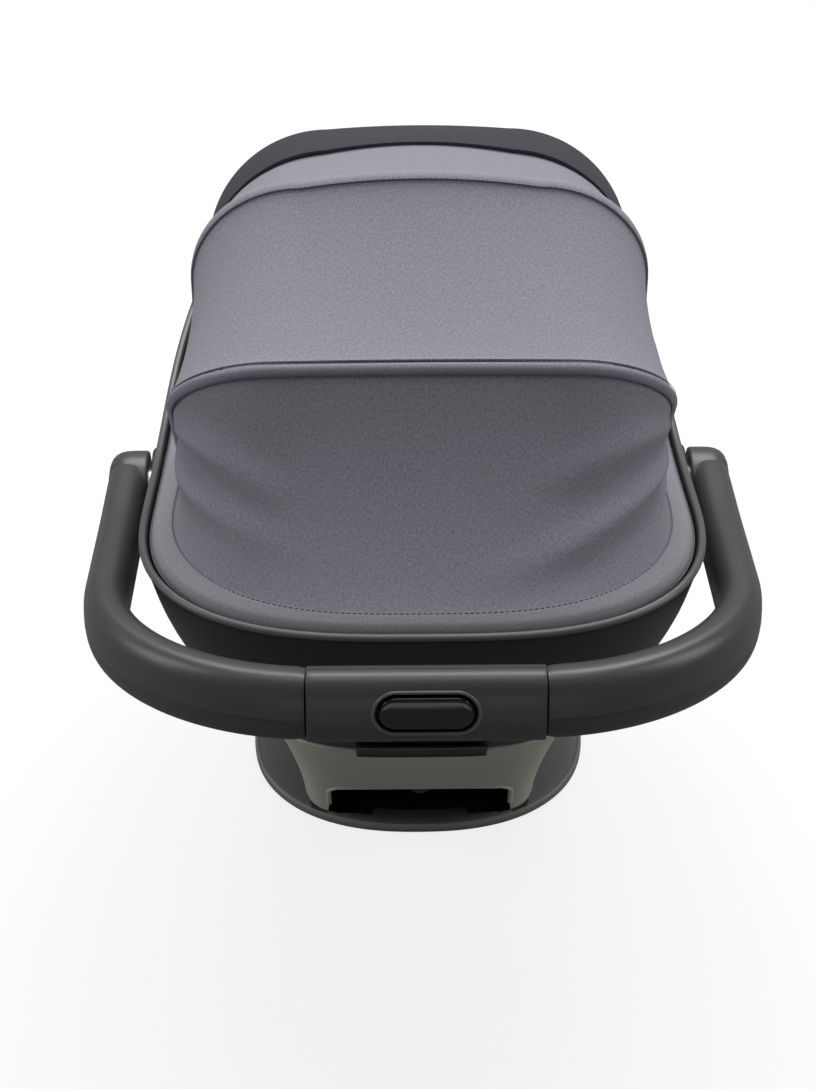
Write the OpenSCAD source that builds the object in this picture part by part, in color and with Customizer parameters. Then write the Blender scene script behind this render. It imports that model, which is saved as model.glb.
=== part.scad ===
// Infant car seat: a bucket shell on a rocker base, with a lay-back carry handle,
// a folding canopy on three bows, a padded cover and a harness.
// X runs across the seat, +Y points to the baby's head, Z is up. The origin is on the floor
// straight under the carry handle's hinge.

/* [Shell] */
// Height of the carry handle's hinge above the floor
pivot_h = 280; // [276:1:284]
// Half of the shell's width at the rim
rim_half = 186; // [184:0.5:187]
// Reach of the rim behind the hinge, at the head end
rim_head = 278; // [274:1:280]
// Reach of the rim in front of the hinge, at the foot end
rim_foot = 330; // [320:5:340]
// Wall thickness of the shell
shell_wall = 4; // [3:0.5:4.5]
// Half of the base flange's width
base_half = 129; // [124:1:134]
// Thickness of the base flange
base_t = 9; // [7:0.5:10]

/* [Handle] */
// Distance from the hinge to the middle of the grip
handle_reach = 325; // [323:1:330]
// Half of the distance between the middles of the two arms
handle_half = 207.5; // [206:0.5:210]
// Radius of the handle's two bends, at the middle of the bar
handle_bend = 142; // [130:1:150]
// Angle of the laid-back handle above the horizontal
handle_rest = 17; // [14:0.2:20]
// Height of the bar's section
bar_h = 47; // [42:1:50]
// Thickness of the bar's section
bar_t = 29; // [27:1:30]
// Length of the centre grip
grip_l = 147; // [140:1:150]
// Length of the release button in the grip
button_l = 59; // [54:1:62]

/* [Canopy] */
// Outer radius of the fixed rear panel
canopy_r = 283; // [280:1:284]
// Half of the rear panel's width
canopy_half = 166; // [164:0.5:167]
// Radius of the rear panel's corners
canopy_bend = 78; // [70:1:84]
// Angle of the rear bow above the horizontal
rear_bow_at = 58.7; // [56:0.1:60]
// Angle of the front bow
front_bow_at = 92; // [90:0.5:94]
// Angle of the visor's bow
visor_bow_at = 118; // [114:0.5:120]
// Thickness of a fabric panel
panel_t = 2; // [1.5:0.1:2.2]

/* [Harness] */
// Width of the harness webbing
webbing_w = 25; // [22:1:28]
// Thickness of the harness webbing
webbing_t = 1.6; // [1.4:0.1:2]

/* [Hidden] */
$fn = 48;
plastic = [0.16, 0.17, 0.18];
dark_plastic = [0.09, 0.095, 0.10];
light_plastic = [0.33, 0.33, 0.32];
canopy_cloth = [0.36, 0.36, 0.39];
trim_cloth = [0.42, 0.42, 0.45];
visor_cloth = [0.19, 0.19, 0.21];
pad_cloth = [0.30, 0.30, 0.32];
steel = [0.62, 0.63, 0.65];

canopy_y = 9;
canopy_z = pivot_h - 4;
panel_step = 4.5;
bow_t = 4;
bow_w = 10;
hub_r = 29;
hub_in = handle_half - bar_t / 2;
hub_out = handle_half + bar_t / 2;
boss_r = 31;
boss_out = hub_in - 3;
bolt_r = 4;
disc_r = 17;
part_line = -0.1 * bar_h;
label_half = 46;
bar_wall = 3;
arm_start = 42;
arm_turn = acos((grip_l / 2 - handle_half + handle_bend) / handle_bend);
rim_blend = 80;
rim_low = 296;
rim_rise = 101;
rim_mid = 316;
foot_rise = 34;
rim_reach = rim_head + sqrt(rim_head * rim_head + rim_blend * rim_blend);

// Shell stations from the pan to the rim: share of the way up, height, half width,
// reach to the head, reach to the foot, middle, and how square the plan is
stations = [
    [0.00, 88, 60, 60, 150, -25, 2.6],
    [0.15, 92, 92, 97, 205, -22, 2.9],
    [0.30, 108, 106, 113, 234, -14, 3.3],
    [0.44, 139, 117.5, 134.5, 256.5, -5, 3.7],
    [0.45, 140, 123, 140, 262, -4, 3.7],
    [0.60, 188, 146, 184, 280, 18, 3.8],
    [0.75, 236, 164, 226, 298, 45, 3.7],
    [0.90, 284, 177.5, 262, 316, 78, 3.5],
    [1.00, rim_mid, rim_half, rim_head, rim_foot, 96, 3.15]
];
shell_levels = [0, 0.075, 0.15, 0.225, 0.3, 0.37, 0.44, 0.45, 0.525, 0.6, 0.675, 0.75, 0.825, 0.9, 0.95, 1];

// ---- Helpers ----

function sign_of(v) = v < 0 ? -1 : 1;

// Point of a superellipse of unit half sizes at angle a
function squircle(a, n) = [
    sign_of(cos(a)) * pow(abs(cos(a)), 2 / n),
    sign_of(sin(a)) * pow(abs(sin(a)), 2 / n)
];

// Height of the shell's rim at a place along its length
function rim_z(y) =
    rim_low
    + rim_rise * (1 - pow(1 - min(1, (y + sqrt(y * y + rim_blend * rim_blend)) / rim_reach), 1.5))
    + foot_rise * pow(max(0, -y - 40) / 290, 1.6);

function station(t, k) = lookup(t, [for (s = stations) [s[0], s[k]]]);

// One point of the shell's side, at share t of the way up, angle a round the plan and inset in
function shell_point(t, a, inset) =
    let (
        e = squircle(a, station(t, 6)),
        mid = station(t, 5),
        reach = e[1] > 0 ? station(t, 3) - inset - mid : station(t, 4) - inset + mid,
        top = squircle(a, 3.15),
        rim_y = top[1] > 0 ? 96 + (rim_head - 96) * top[1] : 96 + (rim_foot + 96) * top[1]
    )
    [
        (station(t, 2) - inset) * e[0],
        mid + reach * e[1],
        station(t, 1) + (rim_z(rim_y) - rim_mid) * t * t + inset * pow(1 - t, 1.5)
    ];

function ring(t, inset, n) = [for (i = [0 : n - 1]) shell_point(t, 360 * i / n, inset)];

// Triangles between stacked rings of n points, seen from outside when the rings rise
function wall_faces(n, rings, start, flip) = [
    for (k = [0 : rings - 2], i = [0 : n - 1])
        let (
            a = start + k * n + i,
            b = start + k * n + (i + 1) % n
        )
        each (flip ? [[a, b, b + n], [a, b + n, a + n]] : [[a, b + n, b], [a, a + n, b + n]])
];

function fan_faces(n, start, centre, flip) = [
    for (i = [0 : n - 1])
        flip ? [centre, start + (i + 1) % n, start + i] : [centre, start + i, start + (i + 1) % n]
];

// Band between two rings of n points each
function band_faces(n, a, b) = [
    for (i = [0 : n - 1])
        each [[a + i, b + (i + 1) % n, a + (i + 1) % n], [a + i, b + i, b + (i + 1) % n]]
];

// Open bowl that follows the shell; each level is [share of the way up, outer inset, inner inset]
module bowl(levels, n = 48) {
    count = len(levels);
    points = [
        for (v = levels) each ring(v[0], v[1], n),
        for (v = levels) each ring(v[0], v[2], n),
        [0, station(0, 5) - 45, station(0, 1) + levels[0][1]],
        [0, station(0, 5) - 45, station(0, 1) + levels[0][2]]
    ];
    inner = count * n;
    faces = [
        each wall_faces(n, count, 0, false),
        each wall_faces(n, count, inner, true),
        each fan_faces(n, 0, 2 * inner, false),
        each fan_faces(n, inner, 2 * inner + 1, true),
        each band_faces(n, inner - n, 2 * inner - n)
    ];
    polyhedron(points = points, faces = faces, convexity = 8);
}

// Solid of the shell's whole outside, a little larger when inset is negative
module shell_block(inset, n = 48) {
    count = len(shell_levels);
    points = [
        for (t = shell_levels) each ring(t, inset, n),
        [0, station(0, 5) - 45, station(0, 1) + inset],
        [0, 0, rim_mid + 20]
    ];
    polyhedron(
        points = points,
        faces = [
            each wall_faces(n, count, 0, false),
            each fan_faces(n, 0, count * n, false),
            each fan_faces(n, (count - 1) * n, count * n + 1, true)
        ],
        convexity = 6
    );
}

// Outline of the base in plan, drawn in by inset
module base_outline(half, head, foot, mid, power, inset = 0, n = 96) {
    polygon([
        for (i = [0 : n - 1])
            let (
                e = squircle(360 * i / n, power),
                reach = e[1] > 0 ? head - mid : foot + mid
            )
            [(half - inset) * e[0], mid + (reach - inset) * e[1]]
    ]);
}

// Rounded U outline with its open side on the axis: reach along X, half width along Y
module u_outline(reach, half, bend) {
    translate([0, -half]) square([reach - bend, 2 * half]);
    translate([0, bend - half]) square([reach, 2 * (half - bend)]);
    for (s = [-1, 1]) translate([reach - bend, s * (half - bend)]) circle(bend, $fn = 64);
}

module u_band(reach, half, bend, t, start) {
    difference() {
        u_outline(reach, half, bend);
        u_outline(reach - t, half - t, bend - t);
        translate([-1, -half]) square([start + 1, 2 * half]);
    }
}

// Turns a profile drawn as (radius, X) about the canopy's axis, between two angles
module canopy_turn(from, to) {
    translate([0, canopy_y, canopy_z]) rotate([90, 0, 90])
        rotate([0, 0, from]) rotate_extrude(angle = to - from) children();
}

// Space above the shell's rim line, raised by lift and turned about the canopy's axis
module above_rim(lift, turn = 0) {
    line = [for (y = [-60 : 20 : 320]) [y, rim_z(y) + lift]];
    translate([0, canopy_y, canopy_z]) rotate([turn, 0, 0]) translate([0, -canopy_y, -canopy_z])
        rotate([90, 0, 90]) translate([0, 0, -220]) linear_extrude(440)
            polygon(concat([[-330, rim_z(-60) + lift]], line, [[320, 700], [-330, 700]]));
}

// One telescoping fabric panel: layer 0 is the outermost
module panel(layer, from, to, start) {
    cut = layer * panel_step;
    canopy_turn(from, to)
        u_band(canopy_r - cut, canopy_half - cut, canopy_bend - cut, panel_t, start);
}

// One flat bow with an eye round the hinge pin at each end
module bow(layer, at) {
    cut = layer * panel_step + panel_t + 0.5;
    translate([0, canopy_y, canopy_z]) rotate([at, 0, 0]) difference() {
        union() {
            translate([0, 0, -bow_w / 2]) linear_extrude(bow_w) rotate(90)
                u_band(canopy_r - cut, canopy_half - cut, canopy_bend - cut, bow_t, 8);
            for (s = [-1, 1]) translate([s * (canopy_half - cut - bow_t / 2), 0, 0])
                rotate([0, 90, 0]) cylinder(r = 9, h = bow_t, center = true);
        }
        rotate([0, 90, 0]) cylinder(r = bolt_r + 0.05, h = 440, center = true);
    }
}

// Laid-back handle's frame: Y along the arms, Z square to them
module on_handle() {
    translate([0, 0, pivot_h]) rotate([handle_rest, 0, 0]) children();
}

// Cylinder along X between two places
module x_rod(r, from, to) {
    translate([from, 0, 0]) rotate([0, 90, 0]) cylinder(r = r, h = to - from);
}

module bar_outline(cut = 0, n = 40) {
    polygon([
        for (i = [0 : n - 1])
            let (e = squircle(360 * i / n, 2.7))
            [(bar_t / 2 - cut) * e[0], (bar_h / 2 - cut) * e[1]]
    ]);
}

// Upper or lower shell of the bar's section
module bar_shell(upper) {
    low = upper ? part_line : -bar_h;
    difference() {
        intersection() {
            bar_outline();
            translate([-bar_t, low]) square([2 * bar_t, upper ? bar_h : part_line + bar_h]);
        }
        bar_outline(bar_wall);
    }
}

// Sweeps a section along one arm and its bend, from a start to the grip's seam
module along_arm(start) {
    translate([handle_half, handle_reach - handle_bend, 0]) rotate([90, 0, 0])
        linear_extrude(handle_reach - handle_bend - start) children();
    translate([handle_half - handle_bend, handle_reach - handle_bend, 0])
        rotate_extrude(angle = arm_turn) translate([handle_bend, 0]) children();
}

module along_grip(length) {
    translate([-length / 2, handle_reach, 0]) rotate([90, 0, 90]) linear_extrude(length) children();
}

module stadium(length, width) {
    for (s = [-1, 1]) translate([s * (length - width) / 2, 0]) circle(width / 2);
    square([length - width, width], center = true);
}

// Stadium block facing outward from the grip, between two distances from the bar's middle
module on_grip(from, to) {
    translate([0, handle_reach + to, 0]) rotate([90, 0, 0]) linear_extrude(to - from) children();
}

// Coil spring along +Z
module coil(r, wire, length, turns) {
    steps = turns * 12;
    sides = 6;
    rise = (length - 2 * wire) / steps;
    points = [
        for (k = [0 : steps], j = [0 : sides - 1])
            let (
                a = 360 * k / 12,
                b = 360 * j / sides,
                d = r + wire * cos(b)
            )
            [d * cos(a), d * sin(a), wire + rise * k + wire * sin(b)]
    ];
    faces = [
        each wall_faces(sides, steps + 1, 0, true),
        [for (j = [0 : sides - 1]) sides - 1 - j],
        [for (j = [0 : sides - 1]) steps * sides + j]
    ];
    polyhedron(points = points, faces = [for (f = faces) [for (i = [len(f) - 1 : -1 : 0]) f[i]]],
        convexity = 12);
}

// Flat webbing through points, each point given with the direction its face looks
module webbing(path, looks, width) {
    half = width / 2;
    last = len(path) - 1;
    sections = [
        for (i = [0 : last])
            let (
                way = path[min(i + 1, last)] - path[max(i - 1, 0)],
                side = cross(way, looks[i]) / norm(cross(way, looks[i])),
                up = cross(side, way) / norm(cross(side, way)) * webbing_t / 2
            )
            [
                path[i] - side * half - up, path[i] + side * half - up,
                path[i] + side * half + up, path[i] - side * half + up
            ]
    ];
    polyhedron(
        points = [for (s = sections) each s],
        faces = [
            each wall_faces(4, last + 1, 0, false),
            [0, 1, 2, 3],
            [4 * last + 3, 4 * last + 2, 4 * last + 1, 4 * last]
        ]
    );
}

// Rounded pad lying flat, its middle at the origin
module pad(length, width, t, r) {
    linear_extrude(t) {
        square([width - 2 * r, length], center = true);
        square([width, length - 2 * r], center = true);
        for (x = [-1, 1], y = [-1, 1])
            translate([x * (width / 2 - r), y * (length / 2 - r)]) circle(r);
    }
}

// Backrest's frame: Y runs up the backrest, Z stands off its surface
module on_backrest() {
    translate([0, 112, 186]) rotate([58, 0, 0]) children();
}

module sided(side) {
    if (side > 0) children();
    else mirror([1, 0, 0]) children();
}

// ---- Shell and base ----

module seat_shell() {
    color(dark_plastic) difference() {
        union() {
            bowl([for (t = shell_levels) [t, 0, shell_wall]]);
            for (s = [-1, 1]) sided(s) difference() {
                x_rod_at_pivot(boss_r, rim_half - 26, boss_out);
                hull() for (t = [0.6, 0.82, 1]) hub_slice(t);
            }
        }
        for (s = [-1, 1]) sided(s) {
            x_rod_at_pivot(bolt_r, rim_half - 40, boss_out + 1);
            x_rod_at_pivot(disc_r + 0.6, boss_out - 8, boss_out + 1);
        }
        for (x = [-38, 38]) translate([x, 250, 318]) rotate([58, 0, 0])
            cube([34, 8, 60], center = true);
    }
}

module x_rod_at_pivot(r, from, to) {
    translate([0, 0, pivot_h]) x_rod(r, from, to);
}

// Part of the shell's hollow beside the hinge, used to keep the hinge boss outside it
module hub_slice(t) {
    p = shell_point(t, -4, 0);
    translate([0, -60, p[2] - 1]) cube([p[0] - shell_wall + 0.5, 120, 1]);
}

module rocker_base() {
    n = 64;
    foot = [for (i = [0 : n - 1]) let (e = squircle(360 * i / n, 4.2))
        [84 * e[0], -40 + (e[1] > 0 ? 106 : 135) * e[1], base_t - 3]];
    foot_in = [for (i = [0 : n - 1]) let (e = squircle(360 * i / n, 4.2))
        [80 * e[0], -40 + (e[1] > 0 ? 102 : 131) * e[1], base_t - 3]];
    top = [for (p = ring(0.45, 0, n)) p - [0, 0, 1.4]];
    top_in = ring(0.45, 4, n);
    points = concat(foot, [for (u = [0.25, 0.5, 0.75]) each foot * (1 - u) + top * u], top,
        foot_in, [for (u = [0.25, 0.5, 0.75]) each foot_in * (1 - u) + top_in * u],
        [for (i = [0 : n - 1]) [top_in[i][0], top_in[i][1], top[i][2]]]);
    faces = [
        each wall_faces(n, 5, 0, false),
        each wall_faces(n, 5, 5 * n, true),
        each band_faces(n, 4 * n, 9 * n),
        each band_faces(n, 5 * n, 0)
    ];
    color(light_plastic) difference() {
        union() {
            polyhedron(points = points, faces = faces, convexity = 8);
            linear_extrude(base_t) difference() {
                base_outline(base_half, 79, 215, -25, 2.35);
                base_outline(76, 58, 167, -40, 4.2);
            }
        }
        translate([0, 160, base_t]) rotate([90, 0, 0]) linear_extrude(150) arch();
        for (y = [-130, 10]) translate([0, y, 45]) x_rod(5, -120, 120);
        for (p = screw_places()) translate([p[0], p[1], -1]) {
            cylinder(r = 4.6, h = 4.3);
            cylinder(r = 2.2, h = 9.2);
        }
    }
}

module arch() {
    translate([-69, -0.5]) square([138, 31]);
    translate([-55, -0.5]) square([110, 45]);
    for (s = [-1, 1]) translate([s * 55, 30.5]) circle(14);
}

function screw_places() = [for (x = [-100, 100], y = [-90, 20]) [x, y]];

module base_screws() {
    color(steel) for (p = screw_places()) translate([p[0], p[1], 0.8]) {
        cylinder(r = 4.4, h = 2.4);
        translate([0, 0, 2.4]) cylinder(r = 2.15, h = 4.6);
    }
}

module base_lock_bars() {
    color(steel) {
        translate([0, -130, 45]) x_rod(4.95, -91, 91);
        translate([0, 10, 45]) x_rod(4.95, -93, 93);
    }
}

// Point on the back of the shell or of the base below it, at a given place across
function back_point(t, x) =
    let (a = acos(sign_of(x) * pow(abs(x) / station(t, 2), station(t, 6) / 2)))
    shell_point(t, a, 0);

// Blank plate that bridges the seam between the shell and the base
module label_plate() {
    n = 9;
    away = [0, 0.86, -0.51];
    places = [for (i = [0 : n - 1]) label_half * (1 - 2 * i / (n - 1))];
    seam = [for (x = places) back_point(0.45, x)];
    high = [for (x = places) back_point(0.525, x)];
    low = [for (p = seam) p + [0, -7.2, -15]];
    face = concat(low, seam, high);
    count = len(face);
    points = concat([for (p = face) p + away * 0.9], [for (p = face) p + away * 2.4]);
    grid = [for (k = [0, 1], i = [0 : n - 2]) [k * n + i, k * n + i + 1]];
    edge = concat([for (i = [0 : n - 1]) i], [2 * n - 1],
        [for (i = [n - 1 : -1 : 0]) 2 * n + i], [n]);
    color([0.13, 0.135, 0.14]) polyhedron(
        points = points,
        faces = [
            for (g = grid) each [[g[0], g[1], g[1] + n], [g[0], g[1] + n, g[0] + n]],
            for (g = grid) each [
                [g[0] + count, g[1] + n + count, g[1] + count],
                [g[0] + count, g[0] + n + count, g[1] + n + count]
            ],
            for (i = [0 : len(edge) - 1]) let (a = edge[i], b = edge[(i + 1) % len(edge)])
                each [[b, a, a + count], [b, a + count, b + count]]
        ],
        convexity = 4
    );
}

module release_lever() {
    color(plastic) {
        translate([-14, 71, 50]) cube([28, 7, 26]);
        translate([0, 78, 52]) rotate([90, 0, 0]) cylinder(r = 8, h = 7);
    }
}

module lever_bracket() {
    color(plastic) translate([0, 65, 68]) difference() {
        translate([-20, 0, 0]) cube([40, 18.5, 20]);
        translate([-14.4, 5.6, -1]) cube([28.8, 7.8, 19]);
    }
}

module lever_spring() {
    color(steel) translate([0, 74.5, 76.2]) coil(2.8, 0.4, 9.6, 4);
}

module adaptor_socket_left() {
    color(light_plastic) difference() {
        translate([150, -21, 206]) cube([38.5, 42, 46]);
        x_rod_at_pivot(boss_r + 0.2, 140, 200);
        translate([170, -15, 205]) cube([11, 30, 34]);
        shell_block(-0.8);
    }
}

module adaptor_socket_right() {
    mirror([1, 0, 0]) adaptor_socket_left();
}

module belt_guide_left() {
    color(plastic) difference() {
        translate([130, -175, 190]) cube([38, 60, 36]);
        translate([130, -176, 200]) cube([32, 62, 27]);
        shell_block(-0.3);
    }
}

module belt_guide_right() {
    mirror([1, 0, 0]) belt_guide_left();
}

// ---- Padding and trim ----

module foam_liner() {
    levels = [for (t = shell_levels) if (t < 0.8) [t, shell_wall + 7, shell_wall + 19]];
    color([0.12, 0.12, 0.12]) difference() {
        bowl(levels);
        harness_slots();
    }
}

module seat_cover() {
    low = [for (t = shell_levels) if (t < 0.8) [t, shell_wall + 20, shell_wall + 33]];
    flare = [[0.82, 23, 36], [0.86, 15, 26], [0.9, 8.5, 15], [0.94, 7, 13], [0.97, 6, 11.4]];
    color(pad_cloth) difference() {
        bowl(concat(low, flare));
        harness_slots();
        for (s = [-1, 1]) translate([s * 158 - 16, canopy_y - 17, 258]) cube([32, 68, 120]);
    }
}

module harness_slots() {
    for (x = [-38, 38]) translate([x, 200, 318]) rotate([58, 0, 0])
        cube([34, 8, 80], center = true);
    translate([0, -92, 110]) cube([34, 10, 60], center = true);
    translate([0, -176, 124]) cube([34, 44, 60], center = true);
}

module head_pad() {
    color(trim_cloth) on_backrest() translate([0, 165, 3.5]) difference() {
        pad(96, 212, 34, 46);
        translate([-62, -49, 10]) cube([124, 130, 40]);
        for (x = [-38, 38]) translate([x, -22, 5]) cube([32, 84, 20], center = true);
    }
}

module body_pad() {
    color(pad_cloth) translate([-52, -3, 2.2]) rotate([90, 0, 90]) linear_extrude(104) polygon([
        [104, 190], [88, 160], [66, 136], [40, 127], [-69, 127.5], [-73, 142], [-30, 146],
        [30, 150], [62, 168], [95, 202]
    ]);
}

// Cloth collar along the rim, from beside one hinge round the head end to the other
module rim_trim() {
    steps = 40;
    sections = [for (k = [0 : steps]) let (a = -8 + 196 * k / steps) [
        for (c = [[6.8, -4], [7.6, 3], [14, 8.5], [19.5, 9.5], [19.5, 6], [13, 4.5], [11, -4]])
            shell_point(1, a, c[0]) + [0, 0, c[1]]
    ]];
    n = 7;
    color(trim_cloth) polyhedron(
        points = [for (s = sections) each s],
        faces = [
            each wall_faces(n, steps + 1, 0, false),
            [for (i = [0 : n - 1]) i],
            [for (i = [0 : n - 1]) steps * n + n - 1 - i]
        ],
        convexity = 8
    );
}

// ---- Harness ----

module shoulder_strap_left() {
    path = [[38, 206, 330], [38, 186, 326], [38, 150, 279], [37, 110, 226], [34, 60, 180],
        [26, 4, 166], [19, -34, 172]];
    looks = [[0, -0.3, 1], [0, -0.75, 0.6], [0, -0.83, 0.55], [0, -0.8, 0.6], [0, -0.5, 0.85],
        [0, 0, 1], [0, 0.2, 1]];
    color(dark_plastic) webbing(path, looks, webbing_w);
}

module shoulder_strap_right() {
    mirror([1, 0, 0]) shoulder_strap_left();
}

module lap_strap_left() {
    path = [[88, 34, 186], [78, 12, 182], [60, -12, 174], [38, -36, 168], [26, -44, 167]];
    looks = [[-0.5, -0.3, 1], [-0.5, -0.2, 1], [-0.2, 0, 1], [0, 0, 1], [0, 0, 1]];
    color(dark_plastic) webbing(path, looks, webbing_w - 3);
}

module lap_strap_right() {
    mirror([1, 0, 0]) lap_strap_left();
}

module crotch_strap() {
    path = [[0, -92, 104], [0, -92, 128], [0, -88, 146], [0, -80, 158]];
    looks = [[0, 1, 0], [0, 1, 0], [0, 0.95, 0.3], [0, 0.9, 0.45]];
    color(dark_plastic) webbing(path, looks, webbing_w + 5);
}

module shoulder_pad_left() {
    color(pad_cloth) translate([37.5, 141.5, 268.4]) rotate([53, 0, 0]) translate([0, 0, 2])
        pad(112, 44, 7, 14);
}

module shoulder_pad_right() {
    mirror([1, 0, 0]) shoulder_pad_left();
}

module buckle_frame() {
    translate([0, -66, 163]) rotate([12, 0, 0]) children();
}

module buckle_body() {
    color(plastic) buckle_frame() difference() {
        translate([0, 0, 0]) pad(56, 46, 17, 12);
        translate([0, -6, 12]) linear_extrude(10) square([24.6, 20.6], center = true);
        translate([-18.6, 14, 5.5]) cube([15.2, 20, 5]);
        translate([3.4, 14, 5.5]) cube([15.2, 20, 5]);
    }
}

module buckle_button() {
    color([0.55, 0.08, 0.07]) buckle_frame() translate([0, -6, 15.2]) linear_extrude(3.6)
        square([24, 20], center = true);
}

module buckle_tongues() {
    color(steel) buckle_frame() for (s = [-1, 1]) sided(s) translate([3.9, 14.2, 6.7])
        cube([14.2, 22, 2.4]);
}

module adjuster_strap() {
    path = [[0, -166, 126], [0, -184, 150], [0, -202, 168], [0, -217, 188], [0, -227, 214]];
    looks = [[0, 0.6, 1], [0, 0.7, 1], [0, 0.7, 1], [0, 0.8, 0.9], [0, 0.9, 0.6]];
    color(dark_plastic) webbing(path, looks, webbing_w - 2);
}

module adjuster_frame() {
    translate([0, -150, 128]) children();
}

module adjuster_housing() {
    color(plastic) adjuster_frame() difference() {
        translate([0, 0, 0]) pad(30, 50, 12, 8);
        translate([0, 1, 4]) linear_extrude(20) square([30.6, 18.6], center = true);
    }
}

module adjuster_button() {
    color(light_plastic) adjuster_frame() translate([0, 1, 9]) linear_extrude(6)
        square([30, 18], center = true);
}

// ---- Hinges ----

module pivot_bolts() {
    color(steel) for (s = [-1, 1]) sided(s) {
        x_rod_at_pivot(bolt_r - 0.05, rim_half - 16, hub_out - 6);
        x_rod_at_pivot(8, hub_out - 6, hub_out - 3.2);
    }
}

module canopy_mount_left() {
    color(plastic) translate([0, canopy_y, canopy_z]) {
        intersection() {
            x_rod(11, canopy_half - 4.2, canopy_half + 20);
            translate([0, -canopy_y, -canopy_z]) shell_block(shell_wall + 0.3);
        }
        x_rod(bolt_r, canopy_half - 22, canopy_half - 4.2);
        x_rod(7, canopy_half - 24, canopy_half - 22);
    }
}

module canopy_mount_right() {
    mirror([1, 0, 0]) canopy_mount_left();
}

module hub_housing_left() {
    color(plastic) on_handle() difference() {
        union() {
            x_rod(hub_r, hub_in, hub_out - 3);
            translate([handle_half, arm_start, 0]) rotate([90, 0, 0])
                linear_extrude(arm_start - 12) bar_outline(0.5);
        }
        x_rod(disc_r + 0.3, hub_in - 1, hub_in + 19);
        x_rod(bolt_r + 0.03, hub_in, hub_out);
        x_rod(9, hub_out - 6.2, hub_out);
        translate([handle_half, arm_start + 1, 0]) rotate([90, 0, 0]) cylinder(r = 3, h = 34);
    }
}

module hub_housing_right() {
    mirror([1, 0, 0]) hub_housing_left();
}

module hub_cap_left() {
    color(plastic) on_handle() difference() {
        x_rod(hub_r - 3, hub_out - 3, hub_out);
        translate([handle_half, arm_start + 1, 0]) rotate([90, 0, 0])
            linear_extrude(arm_start - 10) bar_outline(0.3);
    }
}

module hub_cap_right() {
    mirror([1, 0, 0]) hub_cap_left();
}

module lock_disc_left() {
    color(steel) on_handle() difference() {
        x_rod(disc_r, boss_out - 7, hub_in + 5);
        x_rod(bolt_r + 0.3, boss_out - 8, hub_in + 6);
    }
}

module lock_disc_right() {
    mirror([1, 0, 0]) lock_disc_left();
}

module lock_spring_left() {
    color(steel) on_handle() translate([hub_in + 5.3, 0, 0]) rotate([0, 90, 0])
        coil(10, 0.9, 13.4, 3);
}

module lock_spring_right() {
    mirror([1, 0, 0]) lock_spring_left();
}

// ---- Handle ----

module handle_upper_left() {
    color(plastic) on_handle() along_arm(arm_start) bar_shell(true);
}

module handle_upper_right() {
    mirror([1, 0, 0]) handle_upper_left();
}

module handle_lower_left() {
    color(plastic) on_handle() along_arm(arm_start) bar_shell(false);
}

module handle_lower_right() {
    mirror([1, 0, 0]) handle_lower_left();
}

module grip_half(outer) {
    along_grip(grip_l - 1.8) difference() {
        intersection() {
            bar_outline();
            translate([outer ? 0 : -bar_t, -bar_h]) square([bar_t, 2 * bar_h]);
        }
        bar_outline(bar_wall);
    }
}

module grip_outer_cover() {
    color(plastic) on_handle() difference() {
        grip_half(true);
        on_grip(0.1, 20) stadium(button_l + 8.4, 30.4);
    }
}

module grip_inner_cover() {
    color(plastic) on_handle() grip_half(false);
}

module button_bezel() {
    color(plastic) on_handle() on_grip(8.5, 14) difference() {
        stadium(button_l + 8, 30);
        stadium(button_l + 1.2, 25.2);
    }
}

module release_button() {
    color([0.03, 0.03, 0.032]) on_handle() {
        on_grip(7.5, 12.8) stadium(button_l, 24);
        on_grip(12.8, 13.9) stadium(button_l - 3, 21);
    }
}

module button_slider() {
    color(light_plastic) on_handle() {
        on_grip(-1.5, 1) square([52, 14], center = true);
        on_grip(1, 7.5) circle(5);
    }
}

module button_spring() {
    color(steel) on_handle() translate([0, handle_reach - 11.3, 0]) rotate([-90, 0, 0])
        coil(4, 0.5, 9.6, 4);
}

module release_cables() {
    color(steel) on_handle() for (s = [-1, 1]) sided(s) {
        along_arm(14) circle(1.2);
        translate([0, 0, 0]) translate([27, handle_reach, 0]) x_rod(1.2, 0, grip_l / 2 - 27);
    }
}

// ---- Canopy ----

module canopy_rear_panel() {
    color(canopy_cloth) intersection() {
        panel(0, 2, rear_bow_at - 1.2, 45);
        above_rim(12.5);
    }
}

module canopy_mid_panel() {
    color(canopy_cloth) intersection() {
        panel(1, rear_bow_at - 1, front_bow_at - 1.2, 45);
        above_rim(-14, 30);
    }
}

module canopy_front_panel() {
    color(canopy_cloth) panel(2, front_bow_at - 1, visor_bow_at - 4.6, 60);
}

module visor_band() {
    color(visor_cloth) panel(3, visor_bow_at - 4.4, visor_bow_at + 4, 70);
}

module rear_bow() {
    color(plastic) bow(1, rear_bow_at);
}

module front_bow() {
    color(plastic) bow(2, front_bow_at);
}

module visor_bow() {
    color(plastic) bow(3, visor_bow_at);
}

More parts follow.
